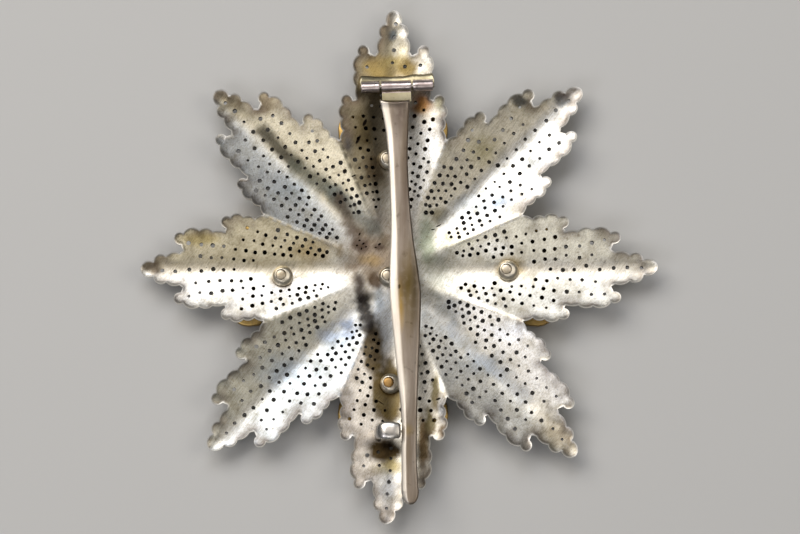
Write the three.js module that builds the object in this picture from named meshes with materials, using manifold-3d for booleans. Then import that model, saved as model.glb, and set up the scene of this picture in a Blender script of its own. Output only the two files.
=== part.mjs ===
// Breast star seen from its back: a pierced, stamped silver star of eight rays
// with a brooch pin, and a plain gilt cross on its front.
// Millimetres. The star lies face down: +Z is the back, +Y the top ray.

import * as THREE from 'three';
import { mergeVertices } from 'three/addons/utils/BufferGeometryUtils.js';
import Module from 'manifold-3d';

// Star plate
const RAY_COUNT = 8;
const RAY_STEP = 360 / RAY_COUNT;
const PLATE_THICKNESS = 0.8;
const TIP_RISE = 1.5;
const TIP_RISE_RADIUS = 41;
const FLANK_SLOPE = 0.35;
const VALLEY_HALF_WIDTH = 1.7;
const HUB_FADE_RADIUS = 7;
const RELIEF_RADII = [5, 10, 15, 19, 23, 28, 34, 43];
const RELIEF_ANGLES = [-22.5, -15, -9, -4.5, 0, 4.5, 9, 15];

// One half of a ray's edge, from the tip inwards. u runs along the ray, v across it.
// bulge is how far the edge bows out on its way from the row above, in steps pieces.
const HALF_RAY_EDGE = [
  { u: 39.92, v: 0.0, bulge: 0, steps: 1 },
  { u: 37.83, v: 1.16, bulge: 0.62, steps: 4 },
  { u: 35.81, v: 2.02, bulge: 0.7, steps: 5 },
  { u: 33.64, v: 2.48, bulge: 0.33, steps: 3 },
  { u: 33.05, v: 2.9, bulge: 0, steps: 1 },
  { u: 33.4, v: 3.75, bulge: 0, steps: 1 },
  { u: 33.02, v: 5.43, bulge: 1.3, steps: 6 },
  { u: 30.39, v: 5.97, bulge: 0.6, steps: 5 },
  { u: 28.22, v: 5.81, bulge: 0.39, steps: 3 },
  { u: 26.36, v: 5.74, bulge: 0.14, steps: 2 },
  { u: 26.15, v: 6.25, bulge: 0, steps: 1 },
  { u: 25.43, v: 7.91, bulge: 1.15, steps: 6 },
  { u: 23.26, v: 7.98, bulge: 0.56, steps: 4 },
  { u: 21.55, v: 7.75, bulge: 0.34, steps: 3 },
  { u: 20.05, v: 8.305, bulge: 0.12, steps: 2 },
];

const DRAWN_RAY_LENGTH = HALF_RAY_EDGE[0].u;
const NOTCH_U = HALF_RAY_EDGE[HALF_RAY_EDGE.length - 1].u;

// The rays differ a little: how much longer each is than the drawn one, and how
// far its tip leans to the side that is counter-clockwise.
const RAYS = [
  { name: 'right', longer: 1.18, lean: 0.3 },
  { name: 'upper_right', longer: 0.85, lean: -0.6 },
  { name: 'top', longer: 0.85, lean: -0.15 },
  { name: 'upper_left', longer: -0.55, lean: -0.15 },
  { name: 'left', longer: -0.72, lean: 0 },
  { name: 'lower_left', longer: 0.05, lean: -0.3 },
  { name: 'bottom', longer: -0.15, lean: -1.1 },
  { name: 'lower_right', longer: 0.65, lean: -0.6 },
];

// Drilled holes: rows that run outwards from the centre
const HOLE_RADIUS = 0.3;
const HOLE_SIDES = 8;
const HOLE_ROWS = [
  { angle: 0, first: 25.2, pitch: 2.1, count: 7 },
  { angle: 7.5, first: 16.2, pitch: 5.2, count: 4 },
  { angle: -7.5, first: 16.2, pitch: 5.2, count: 4 },
];

// Gilt cross on the front, with five posts
const CROSS_THICKNESS = 1.6;
const CROSS_BEVEL = 0.3;
const CROSS_GAP = 0.2;
const PLATE_BACK_AT_CENTRE = CROSS_THICKNESS + CROSS_GAP + PLATE_THICKNESS;
const HALF_ARM_EDGE = [
  { u: 24.9, v: 0.0, bulge: 0, steps: 1 },
  { u: 25.3, v: 3.7, bulge: 0, steps: 1 },
  { u: 21.7, v: 8.2, bulge: 1.85, steps: 6 },
  { u: 19.6, v: 4.7, bulge: 1.25, steps: 4 },
  { u: 12.0, v: 3.1, bulge: -0.25, steps: 3 },
  { u: 2.9, v: 2.9, bulge: -0.1, steps: 2 },
];
const POST_RADIUS = 0.7;
const POST_HOLE_RADIUS = 1.0;
const POST_SINK = 0.4;
const ROUND_SIDES = 16;

// Stud nuts: x and y of the post, and how far the dome's middle is off it
// r and z in the dome are shares of its radius and height
const NUT_RADIUS = 1.6;
const NUT_HEIGHT = 1.15;
const NUT_BORE_RADIUS = 0.95;
const NUT_LIFT = 0.3;
const NUT_OFF_X = 0.28;
const NUT_OFF_Y = -0.12;
const NUT_DOME = [
  { r: 0, z: 0 },
  { r: 1, z: 0 },
  { r: 1, z: 0.22 },
  { r: 0.86, z: 0.59 },
  { r: 0.59, z: 0.85 },
  { r: 0, z: 1 },
];
const STUDS = [
  { name: 'centre', x: -0.9, y: -0.9 },
  { name: 'top', x: -0.9, y: 17.4 },
  { name: 'right', x: 17.6, y: 0.0 },
  { name: 'bottom', x: -0.7, y: -17.7 },
  { name: 'left', x: -17.4, y: -0.9 },
];

// Hinge
const HINGE_X = 0.5;
const HINGE_Y = 28.1;
const HINGE_Z = 7.9;
const HINGE_TILT = 2.1;
const KNUCKLE_RADIUS = 0.9;
const KNUCKLE_BORE = 0.55;
const WIRE_RADIUS = 0.32;
const KNUCKLE_GAP = 0.3;
const PIN_KNUCKLE = { from: -2.3, to: 2.3 };
const LEFT_KNUCKLE = { from: -5.4, to: PIN_KNUCKLE.from - KNUCKLE_GAP };
const RIGHT_KNUCKLE = { from: PIN_KNUCKLE.to + KNUCKLE_GAP, to: 5.7 };
const WIRE_OVERHANG = 0.25;
const LEAF_THICKNESS = 0.7;
const LEAF_CLEARANCE = 0.5;
const LEAF_MIDDLE_TOP = HINGE_Z - KNUCKLE_RADIUS - LEAF_CLEARANCE;
const FOOT_DEPTH = 2.3;
const FOOT_THICKNESS = 0.5;
const FOOT_OVERHANG = 0.2;

// Brooch pin: left and right edge of the blade, out from the hinge's middle line.
// Its underside hangs a little below the middle of the barrel.
const BLADE_DROP = 0.5;
const BLADE_THICKNESS = 0.85;
const BLADE_UNDERSIDE = HINGE_Z - BLADE_DROP;
const BLADE_ROWS = [
  { out: 2.1, left: -2.1, right: 2.6 },
  { out: 4.0, left: -1.65, right: 2.5 },
  { out: 7.1, left: -1.1, right: 2.4 },
  { out: 10.2, left: -0.8, right: 2.3 },
  { out: 16.4, left: -0.5, right: 2.5 },
  { out: 22.6, left: -0.35, right: 3.0 },
  { out: 28.8, left: -0.5, right: 3.9 },
  { out: 31.9, left: -0.5, right: 4.3 },
  { out: 35.0, left: -0.3, right: 4.3 },
  { out: 38.1, left: 0.0, right: 4.2 },
  { out: 44.3, left: 0.6, right: 3.95 },
  { out: 50.5, left: 1.2, right: 3.75 },
  { out: 53.6, left: 1.35, right: 3.7 },
  { out: 56.7, left: 1.3, right: 3.65 },
  { out: 59.8, left: 1.3, right: 3.75 },
  { out: 62.2, left: 1.3, right: 3.9 },
  { out: 64.0, left: 1.45, right: 3.9 },
  { out: 64.9, left: 1.95, right: 3.4 },
  { out: 65.2, left: 2.4, right: 2.95 },
];
// Cross-section of the blade: across is a share of its width, up a share of its
// thickness. It is flat below and rounded above, with its crest near the left.
const BLADE_SECTION = [
  { across: 0.0, up: 0.0 },
  { across: 1.0, up: 0.0 },
  { across: 1.0, up: 0.45 },
  { across: 0.82, up: 0.88 },
  { across: 0.5, up: 1.0 },
  { across: 0.22, up: 0.92 },
  { across: 0.0, up: 0.4 },
];
const TONGUE_ROOT = 0.5;
const TONGUE_REACH = 2.4;
const TONGUE_THICKNESS = 0.5;

// Catch: a fat strap that rises from the plate and hooks over to the right.
// before is how far the middle of the strap lies left of the blade's edge there, up
// its share of the way from the plate to the crown, width is along Y.
const CATCH_OUT = 53.85;
const CROWN_OVER_BLADE = 0.7;
const CATCH_STRAP = [
  { before: 3.6, up: 0.0, width: 2.0, thickness: 1.1 },
  { before: 3.75, up: 0.3, width: 1.9, thickness: 1.0 },
  { before: 3.7, up: 0.6, width: 2.1, thickness: 1.05 },
  { before: 3.35, up: 0.83, width: 2.5, thickness: 1.1 },
  { before: 2.5, up: 0.965, width: 2.75, thickness: 1.15 },
  { before: 1.55, up: 1.0, width: 2.65, thickness: 1.1 },
  { before: 0.8, up: 0.985, width: 2.3, thickness: 0.95 },
  { before: 0.35, up: 0.95, width: 1.7, thickness: 0.65 },
];
const CATCH_Y = HINGE_Y - CATCH_OUT;
const CATCH_SIDES = 10;

// Holes are left out where a fitting is soldered down, and this far round it
const HOLE_CLEARANCE = 0.5;

const wasm = await Module();
wasm.setup();

function radians(degrees) {
  return degrees * Math.PI / 180;
}

// Solids go to manifold-3d for cutting and joining, and come back as geometry.
function toSolid(geometry) {
  const bare = new THREE.BufferGeometry();
  bare.setAttribute('position', geometry.getAttribute('position').clone());
  if (geometry.index) bare.setIndex(geometry.index.clone());
  const welded = mergeVertices(bare, 1e-5);
  const triVerts = new Uint32Array(welded.index.array);
  const vertProperties = new Float32Array(welded.getAttribute('position').array);
  return new wasm.Manifold(new wasm.Mesh({ numProp: 3, vertProperties, triVerts }));
}

function toGeometry(solid) {
  const mesh = solid.getMesh();
  const geometry = new THREE.BufferGeometry();
  const positions = new Float32Array(mesh.vertProperties);
  geometry.setAttribute('position', new THREE.BufferAttribute(positions, 3));
  geometry.setIndex(new THREE.BufferAttribute(new Uint32Array(mesh.triVerts), 1));
  const faceted = geometry.toNonIndexed();
  faceted.computeVertexNormals();
  return faceted;
}

// Height of the plate's back at a place: a trough along each ray, a crease
// between neighbours that fades out towards the hub, and tips that rise a little.
function backHeight(x, y) {
  const step = radians(RAY_STEP);
  const angle = Math.atan2(y, x);
  const offAxis = angle - step * Math.round(angle / step);
  const r = Math.hypot(x, y);
  const across = r * Math.sin(offAxis);
  const w = VALLEY_HALF_WIDTH;
  const fade = 1 - Math.exp(-((r / HUB_FADE_RADIUS) ** 2));
  const flank = fade * FLANK_SLOPE * (Math.hypot(across, w) - w);
  const rise = TIP_RISE * (r / TIP_RISE_RADIUS) ** 2;
  return PLATE_BACK_AT_CENTRE + rise + flank;
}

// A bowed stretch from p to q. Outwards is to the right of the way from p to q.
function bowedPoints(p, q, bulge, steps) {
  if (steps === 1 || bulge === 0) return [q];
  const chord = q.clone().sub(p);
  const half = chord.length() / 2;
  const out = new THREE.Vector2(chord.y, -chord.x).normalize().multiplyScalar(Math.sign(bulge));
  const height = Math.abs(bulge);
  const radius = (half * half + height * height) / (2 * height);
  const middle = p.clone().add(q).multiplyScalar(0.5);
  const centre = middle.addScaledVector(out, height - radius);
  const start = Math.atan2(p.y - centre.y, p.x - centre.x);
  let sweep = Math.atan2(q.y - centre.y, q.x - centre.x) - start;
  if (bulge > 0 && sweep < 0) sweep += 2 * Math.PI;
  if (bulge < 0 && sweep > 0) sweep -= 2 * Math.PI;
  const points = [];
  for (let i = 1; i < steps; i += 1) {
    const a = start + sweep * i / steps;
    points.push(new THREE.Vector2(centre.x + radius * Math.cos(a), centre.y + radius * Math.sin(a)));
  }
  points.push(q);
  return points;
}

// Both sides of a ray or arm, counter-clockwise, from its half edge.
function bothSides(rows) {
  const inner = rows[rows.length - 1];
  let at = new THREE.Vector2(inner.u, -inner.v);
  const points = [at];
  for (let i = rows.length - 1; i > 0; i -= 1) {
    const next = new THREE.Vector2(rows[i - 1].u, -rows[i - 1].v);
    points.push(...bowedPoints(at, next, rows[i].bulge, rows[i].steps));
    at = next;
  }
  for (let i = 1; i < rows.length; i += 1) {
    const next = new THREE.Vector2(rows[i].u, rows[i].v);
    points.push(...bowedPoints(at, next, rows[i].bulge, rows[i].steps));
    at = next;
  }
  points.pop();
  return points;
}

// The blade's left edge at a distance out from the hinge
function bladeLeft(out) {
  const after = BLADE_ROWS.findIndex((row) => row.out >= out);
  const a = BLADE_ROWS[after - 1];
  const b = BLADE_ROWS[after];
  return a.left + (b.left - a.left) * (out - a.out) / (b.out - a.out);
}

function turned(point, degrees) {
  return point.clone().rotateAround(new THREE.Vector2(0, 0), radians(degrees));
}

function starOutline() {
  const drawn = bothSides(HALF_RAY_EDGE);
  const points = [];
  RAYS.forEach((ray, k) => {
    const drawnReach = DRAWN_RAY_LENGTH - NOTCH_U;
    const stretch = (drawnReach + ray.longer) / drawnReach;
    for (const p of drawn) {
      const out = (p.x - NOTCH_U) * stretch;
      const share = out / drawnReach;
      const placed = new THREE.Vector2(NOTCH_U + out, p.y + ray.lean * share * share);
      points.push(turned(placed, k * RAY_STEP));
    }
  });
  return points;
}

// The relief alone: back and front skins over a round sheet, closed at its rim.
function reliefSheet() {
  const spokes = [];
  for (let k = 0; k < RAY_COUNT; k += 1) {
    for (const a of RELIEF_ANGLES) spokes.push(k * RAY_STEP + a);
  }
  const rings = RELIEF_RADII.length;
  const positions = [0, 0, backHeight(0, 0), 0, 0, backHeight(0, 0) - PLATE_THICKNESS];
  for (const angle of spokes) {
    for (const r of RELIEF_RADII) {
      const x = r * Math.cos(radians(angle));
      const y = r * Math.sin(radians(angle));
      const z = backHeight(x, y);
      positions.push(x, y, z, x, y, z - PLATE_THICKNESS);
    }
  }
  const back = (s, i) => (i < 0 ? 0 : 2 + 2 * ((s % spokes.length) * rings + i));
  const index = [];
  for (let s = 0; s < spokes.length; s += 1) {
    index.push(0, back(s, 0), back(s + 1, 0));
    index.push(1, back(s + 1, 0) + 1, back(s, 0) + 1);
    for (let i = 0; i < rings - 1; i += 1) {
      const a = back(s, i);
      const b = back(s, i + 1);
      const c = back(s + 1, i + 1);
      const d = back(s + 1, i);
      index.push(a, b, c, a, c, d);
      index.push(a + 1, c + 1, b + 1, a + 1, d + 1, c + 1);
    }
    const p = back(s, rings - 1);
    const q = back(s + 1, rings - 1);
    index.push(p, p + 1, q + 1, p, q + 1, q);
  }
  const geometry = new THREE.BufferGeometry();
  geometry.setAttribute('position', new THREE.Float32BufferAttribute(positions, 3));
  geometry.setIndex(index);
  return toSolid(geometry);
}

function upright(points, zFrom, zTo) {
  const shape = new THREE.Shape(points);
  const geometry = new THREE.ExtrudeGeometry(shape, { depth: zTo - zFrom, bevelEnabled: false });
  geometry.translate(0, 0, zFrom);
  return toSolid(geometry);
}

function uprightRod(x, y, radius, zFrom, zTo, sides) {
  const geometry = new THREE.CylinderGeometry(radius, radius, zTo - zFrom, sides);
  geometry.rotateX(Math.PI / 2);
  geometry.translate(x, y, (zFrom + zTo) / 2);
  return toSolid(geometry);
}

function solderedPlaces() {
  const strap = CATCH_STRAP[0];
  const catchX = bladeLeft(CATCH_OUT) - strap.before;
  const leafMiddle = HINGE_Y + KNUCKLE_RADIUS - LEAF_THICKNESS + FOOT_DEPTH / 2;
  return [
    {
      x: HINGE_X + (LEFT_KNUCKLE.from + RIGHT_KNUCKLE.to) / 2,
      y: leafMiddle,
      halfWidth: (RIGHT_KNUCKLE.to - LEFT_KNUCKLE.from) / 2 + FOOT_OVERHANG,
      halfDepth: FOOT_DEPTH / 2,
    },
    { x: catchX, y: CATCH_Y, halfWidth: strap.thickness / 2, halfDepth: strap.width / 2 },
  ];
}

function isClear(x, y) {
  const room = HOLE_CLEARANCE + HOLE_RADIUS;
  return !solderedPlaces().some((place) => Math.abs(x - place.x) < place.halfWidth + room
    && Math.abs(y - place.y) < place.halfDepth + room);
}

function drilledHoles() {
  const holes = [];
  for (let k = 0; k < RAY_COUNT; k += 1) {
    for (const row of HOLE_ROWS) {
      for (let i = 0; i < row.count; i += 1) {
        const r = row.first + i * row.pitch;
        const angle = radians(k * RAY_STEP + row.angle);
        const x = r * Math.cos(angle);
        const y = r * Math.sin(angle);
        const z = backHeight(x, y);
        if (!isClear(x, y)) continue;
        holes.push(uprightRod(x, y, HOLE_RADIUS, z - 3, z + 3, HOLE_SIDES));
      }
    }
  }
  return wasm.Manifold.union(holes);
}

// A rod along the barrel, which is turned slightly about the hinge's middle.
function barrelRod(from, to, radius, sides) {
  const geometry = new THREE.CylinderGeometry(radius, radius, to - from, sides);
  geometry.rotateZ(Math.PI / 2);
  geometry.translate((from + to) / 2, 0, 0);
  geometry.rotateZ(radians(HINGE_TILT));
  geometry.translate(HINGE_X, HINGE_Y, HINGE_Z);
  return toSolid(geometry);
}

// A wall that stands on the plate, drawn in barrel coordinates: x along it,
// its lower edge sunk into the plate's skin.
function leafWall(from, to, yFrom, yTo, topAt) {
  const count = 6;
  const lower = [];
  const upper = [];
  for (let i = 0; i <= count; i += 1) {
    const x = from + (to - from) * i / count;
    const skin = backHeight(HINGE_X + x, HINGE_Y + (yFrom + yTo) / 2);
    lower.push(new THREE.Vector2(x, skin - PLATE_THICKNESS / 2));
    upper.unshift(new THREE.Vector2(x, topAt(skin)));
  }
  const shape = new THREE.Shape([...lower, ...upper]);
  const geometry = new THREE.ExtrudeGeometry(shape, { depth: yTo - yFrom, bevelEnabled: false });
  geometry.rotateX(Math.PI / 2);
  geometry.translate(0, yTo, 0);
  geometry.rotateZ(radians(HINGE_TILT));
  geometry.translate(HINGE_X, HINGE_Y, 0);
  return toSolid(geometry);
}

function hingeLeaf() {
  const yIn = KNUCKLE_RADIUS - LEAF_THICKNESS;
  const yOut = KNUCKLE_RADIUS;
  const left = LEFT_KNUCKLE.from;
  const right = RIGHT_KNUCKLE.to;
  const pieces = [
    leafWall(left, LEFT_KNUCKLE.to, yIn, yOut, () => HINGE_Z),
    leafWall(RIGHT_KNUCKLE.from, right, yIn, yOut, () => HINGE_Z),
    leafWall(left, right, yIn, yOut, () => LEAF_MIDDLE_TOP),
    leafWall(left - FOOT_OVERHANG, right + FOOT_OVERHANG, yIn, yIn + FOOT_DEPTH,
      (skin) => skin + FOOT_THICKNESS),
    barrelRod(left, LEFT_KNUCKLE.to, KNUCKLE_RADIUS, ROUND_SIDES),
    barrelRod(RIGHT_KNUCKLE.from, right, KNUCKLE_RADIUS, ROUND_SIDES),
  ];
  return wasm.Manifold.union(pieces);
}

// A closed skin through rings of points, each ring a list of Vector3.
function skinThrough(rings) {
  const sides = rings[0].length;
  const positions = rings.flat().flatMap((p) => [p.x, p.y, p.z]);
  const index = [];
  for (let i = 0; i < rings.length - 1; i += 1) {
    for (let j = 0; j < sides; j += 1) {
      const a = i * sides + j;
      const b = i * sides + (j + 1) % sides;
      index.push(a, b, b + sides, a, b + sides, a + sides);
    }
  }
  const last = (rings.length - 1) * sides;
  for (let j = 1; j < sides - 1; j += 1) {
    index.push(0, j + 1, j);
    index.push(last, last + j, last + j + 1);
  }
  const geometry = new THREE.BufferGeometry();
  geometry.setAttribute('position', new THREE.Float32BufferAttribute(positions, 3));
  geometry.setIndex(index);
  return toSolid(geometry);
}

function catchStrap() {
  const edge = bladeLeft(CATCH_OUT);
  const footX = edge - CATCH_STRAP[0].before;
  const foot = backHeight(footX, CATCH_Y) - PLATE_THICKNESS / 2;
  const crown = BLADE_UNDERSIDE + BLADE_THICKNESS + CROWN_OVER_BLADE;
  const strap = CATCH_STRAP.map((row) => ({
    x: edge - row.before,
    z: foot + (crown - foot) * row.up,
    width: row.width,
    thickness: row.thickness,
  }));
  const rings = strap.map((row, i) => {
    const before = strap[Math.max(i - 1, 0)];
    const after = strap[Math.min(i + 1, strap.length - 1)];
    const along = new THREE.Vector2(after.x - before.x, after.z - before.z).normalize();
    const ring = [];
    for (let j = 0; j < CATCH_SIDES; j += 1) {
      const a = 2 * Math.PI * j / CATCH_SIDES;
      const across = Math.cos(a) * row.width / 2;
      const outwards = Math.sin(a) * row.thickness / 2;
      const x = row.x - along.y * outwards;
      const z = row.z + along.x * outwards;
      ring.push(new THREE.Vector3(x, CATCH_Y + across, z));
    }
    return ring;
  });
  return skinThrough(rings);
}

function starPlate() {
  const sheet = reliefSheet().intersect(upright(starOutline(), -5, 15));
  const postHoles = STUDS.map((s) => uprightRod(s.x, s.y, POST_HOLE_RADIUS, -1, 9, ROUND_SIDES));
  const pierced = sheet.subtract(drilledHoles()).subtract(wasm.Manifold.union(postHoles));
  const fitted = pierced.add(hingeLeaf()).add(catchStrap());
  const bore = barrelRod(LEFT_KNUCKLE.from - 1, RIGHT_KNUCKLE.to + 1, KNUCKLE_BORE, ROUND_SIDES);
  return fitted.subtract(bore);
}

function seatHeight(stud) {
  const x = stud.x + NUT_OFF_X;
  const y = stud.y + NUT_OFF_Y;
  let height = 0;
  for (let i = 0; i < 8; i += 1) {
    const a = radians(45 * i);
    const skin = backHeight(x + NUT_RADIUS * Math.cos(a), y + NUT_RADIUS * Math.sin(a));
    height = Math.max(height, skin);
  }
  return height;
}

function nutBase(stud) {
  return seatHeight(stud) + NUT_LIFT / 2;
}

function studNut(stud) {
  const profile = NUT_DOME.map((row) => new THREE.Vector2(row.r * NUT_RADIUS, row.z * NUT_HEIGHT));
  const dome = new THREE.LatheGeometry(profile, ROUND_SIDES);
  dome.rotateX(Math.PI / 2);
  const base = nutBase(stud);
  dome.translate(stud.x + NUT_OFF_X, stud.y + NUT_OFF_Y, base);
  const bore = uprightRod(stud.x, stud.y, NUT_BORE_RADIUS, base - 1, base + 3, ROUND_SIDES);
  return toSolid(dome).subtract(bore);
}

function frontCross() {
  const arm = bothSides(HALF_ARM_EDGE);
  const points = [];
  for (let k = 0; k < 4; k += 1) {
    for (const p of arm) points.push(turned(p, k * 90));
  }
  const shape = new THREE.Shape(points);
  const body = new THREE.ExtrudeGeometry(shape, {
    depth: CROSS_THICKNESS - 2 * CROSS_BEVEL,
    bevelEnabled: true,
    bevelThickness: CROSS_BEVEL,
    bevelSize: CROSS_BEVEL,
    bevelOffset: -CROSS_BEVEL,
    bevelSegments: 1,
  });
  body.translate(0, 0, CROSS_BEVEL);
  const posts = STUDS.map((stud) => {
    const top = nutBase(stud) + NUT_HEIGHT;
    return uprightRod(stud.x, stud.y, POST_RADIUS, CROSS_THICKNESS - POST_SINK, top, ROUND_SIDES);
  });
  return toSolid(body).add(wasm.Manifold.union(posts));
}

function pinBlade() {
  const rings = BLADE_ROWS.map((row) => BLADE_SECTION.map((point) => new THREE.Vector3(
    row.left + (row.right - row.left) * point.across,
    HINGE_Y - row.out,
    BLADE_UNDERSIDE + BLADE_THICKNESS * point.up,
  )));
  const blade = skinThrough(rings);
  const tongueShape = new THREE.Shape([
    new THREE.Vector2(PIN_KNUCKLE.from, -TONGUE_REACH),
    new THREE.Vector2(PIN_KNUCKLE.to, -TONGUE_REACH),
    new THREE.Vector2(PIN_KNUCKLE.to, -TONGUE_ROOT),
    new THREE.Vector2(PIN_KNUCKLE.from, -TONGUE_ROOT),
  ]);
  const tongue = new THREE.ExtrudeGeometry(tongueShape, {
    depth: TONGUE_THICKNESS,
    bevelEnabled: false,
  });
  tongue.rotateZ(radians(HINGE_TILT));
  tongue.translate(HINGE_X, HINGE_Y, BLADE_UNDERSIDE);
  const knuckle = barrelRod(PIN_KNUCKLE.from, PIN_KNUCKLE.to, KNUCKLE_RADIUS, ROUND_SIDES);
  const bore = barrelRod(PIN_KNUCKLE.from - 1, PIN_KNUCKLE.to + 1, KNUCKLE_BORE, ROUND_SIDES);
  return blade.add(toSolid(tongue)).add(knuckle).subtract(bore);
}

function hingeWire() {
  const from = LEFT_KNUCKLE.from - WIRE_OVERHANG;
  const to = RIGHT_KNUCKLE.to + WIRE_OVERHANG;
  return barrelRod(from, to, WIRE_RADIUS, ROUND_SIDES);
}

function named(name, solid, color, roughness) {
  const material = new THREE.MeshStandardMaterial({ color, roughness, metalness: 1 });
  material.name = name;
  const mesh = new THREE.Mesh(toGeometry(solid), material);
  mesh.name = name;
  return mesh;
}

const star = new THREE.Group();
star.name = 'breast_star';
star.add(named('star_plate', starPlate(), 0xb8b19d, 0.38));
star.add(named('front_cross', frontCross(), 0xc4954a, 0.32));
for (const stud of STUDS) {
  star.add(named(`stud_${stud.name}`, studNut(stud), 0xa79d85, 0.35));
}
star.add(named('hinge_wire', hingeWire(), 0x9b9489, 0.4));
star.add(named('pin_blade', pinBlade(), 0xb2a79d, 0.33));

export default star;
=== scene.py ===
# %% [markdown]
# # A breast star seen from its back
#
# The star is thin silver, stamped to eight troughed rays, drilled with hundreds of small
# holes and toned by age. It lies face down. On the back are a hinge, a long flat pin, a
# hooked catch and five domed nuts. A gilt cross sits on the hidden front.
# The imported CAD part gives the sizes; this lesson dresses each of its solids.

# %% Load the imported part
import math
import random
import bpy
import numpy as np
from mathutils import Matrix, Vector, noise
from mathutils.geometry import delaunay_2d_cdt


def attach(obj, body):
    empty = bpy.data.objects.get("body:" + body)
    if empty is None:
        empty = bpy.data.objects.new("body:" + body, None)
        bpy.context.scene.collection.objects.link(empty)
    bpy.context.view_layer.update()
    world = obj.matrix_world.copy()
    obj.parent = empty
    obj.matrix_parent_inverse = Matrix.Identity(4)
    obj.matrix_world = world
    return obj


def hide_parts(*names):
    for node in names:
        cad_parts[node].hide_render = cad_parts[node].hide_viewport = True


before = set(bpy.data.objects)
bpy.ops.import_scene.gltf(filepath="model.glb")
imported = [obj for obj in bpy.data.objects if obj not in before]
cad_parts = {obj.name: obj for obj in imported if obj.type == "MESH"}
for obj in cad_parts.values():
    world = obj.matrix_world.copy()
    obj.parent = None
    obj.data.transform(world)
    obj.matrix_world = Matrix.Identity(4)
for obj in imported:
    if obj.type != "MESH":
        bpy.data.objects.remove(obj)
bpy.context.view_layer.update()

# %% [markdown]
# ## From millimetres to meshes
#
# A jeweller works in millimetres, so every table here does too, and one helper turns
# points in millimetres into a mesh in metres. The object stays at the origin, with its
# place in its mesh, so a pattern on Object coordinates never slides.

# %% One helper for meshes
MM = 0.001
# A skin with this many faces is built the right way round and isn't tested for it.
MANY_FACES = 10000


def signed_volume(points, faces):
    """Positive when the faces of a closed skin point outwards."""
    p = np.array(points, float)
    total = 0.0
    for face in faces:
        for i in range(1, len(face) - 1):
            total += np.dot(p[face[0]], np.cross(p[face[i]], p[face[i + 1]]))
    return total / 6


def make_piece(name, points_mm, faces, smooth_angle=35):
    if len(faces) < MANY_FACES and signed_volume(points_mm, faces) < 0:
        faces = [tuple(reversed(face)) for face in faces]
    mesh = bpy.data.meshes.new(name)
    mesh.from_pydata([(x * MM, y * MM, z * MM) for x, y, z in points_mm], [], faces)
    mesh.validate()
    mesh.shade_smooth()
    mesh.set_sharp_from_angle(angle=math.radians(smooth_angle))
    piece = bpy.data.objects.new(name, mesh)
    bpy.context.collection.objects.link(piece)
    print(name, "has", len(mesh.polygons), "faces")
    return piece


def skin(rings, looped=False):
    """Points and faces of a closed skin through rings with the same number of points.

    A looped skin runs back to its first ring; any other has a face over each end."""
    sides = len(rings[0])
    points = [p for ring in rings for p in ring]
    faces = []
    for i in range(len(rings) if looped else len(rings) - 1):
        here, there = i * sides, (i + 1) % len(rings) * sides
        for j in range(sides):
            after = (j + 1) % sides
            faces.append((here + j, here + after, there + after, there + j))
    if not looped:
        faces.append(tuple(reversed(range(sides))))
        faces.append(tuple(range(len(points) - sides, len(points))))
    return points, faces


def circle(sides):
    """Cosine and sine of evenly spaced places round a circle."""
    angles = [2 * math.pi * j / sides for j in range(sides)]
    return [(math.cos(a), math.sin(a)) for a in angles]


def level_ring(x, y, radius, z, sides):
    return [(x + radius * c, y + radius * s, z) for c, s in circle(sides)]


def through(xs, ys, at):
    """A smooth curve through a table's values, read at one or more places."""
    xs, ys, at = np.asarray(xs, float), np.asarray(ys, float), np.asarray(at, float)
    slopes = np.gradient(ys, xs)
    i = np.clip(np.searchsorted(xs, at) - 1, 0, len(xs) - 2)
    h = xs[i + 1] - xs[i]
    t = (at - xs[i]) / h
    return ((2 * t**3 - 3 * t**2 + 1) * ys[i] + (t**3 - 2 * t**2 + t) * h * slopes[i]
            + (3 * t**2 - 2 * t**3) * ys[i + 1] + (t**3 - t**2) * h * slopes[i + 1])


def drift(x, y, per_mm, layer):
    """Smooth noise at places in millimetres; each layer is another pattern."""
    return np.array([noise.noise(Vector((a * per_mm, b * per_mm, layer))) for a, b in zip(x, y)])


# %% [markdown]
# ## The star's relief
#
# The real plate was struck between two dies. Each ray is a trough along its axis, and a
# crease stands where two troughs meet. That is a rule, so a short function of x and y
# gives the height of the back everywhere, and every other piece asks it where to sit.

# %% Height of the back
RAY_STEP = 45.0
PLATE_THICKNESS = 0.8
BACK_AT_CENTRE = 2.6
TIP_RISE, TIP_RISE_RADIUS = 1.5, 41.0
FLANK_SLOPE, VALLEY_HALF_WIDTH = 0.35, 1.7
HUB_FADE_RADIUS = 7.0


def ray_place(x, y):
    """Which ray a place belongs to, how far along it, and how far across it."""
    angle = np.degrees(np.arctan2(y, x))
    ray = np.round(angle / RAY_STEP)
    off = np.radians(angle - ray * RAY_STEP)
    r = np.hypot(x, y)
    return ray.astype(int) % 8, r * np.cos(off), r * np.sin(off)


def back_height(x, y):
    x, y = np.asarray(x, float), np.asarray(y, float)
    r = np.hypot(x, y)
    _, along, across = ray_place(x, y)
    next_ray = math.radians(RAY_STEP) - np.arctan2(np.abs(across), along)
    w = VALLEY_HALF_WIDTH
    flank = FLANK_SLOPE * (np.hypot(across, w) - w)
    other = FLANK_SLOPE * (np.hypot(r * np.sin(next_ray), w) - w)
    soft = 0.02 + 0.3 * np.exp(-(r / 10) ** 2)
    flank = flank - soft * np.log1p(np.exp(np.clip((flank - other) / soft, -60, 0)))
    fade = 1 - np.exp(-(r / HUB_FADE_RADIUS) ** 2)
    return BACK_AT_CENTRE + TIP_RISE * (r / TIP_RISE_RADIUS) ** 2 + fade * flank


print("back of the star at its middle and at a notch:",
      float(back_height(0, 0)), round(float(back_height(20.05, 8.3)), 2))

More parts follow.
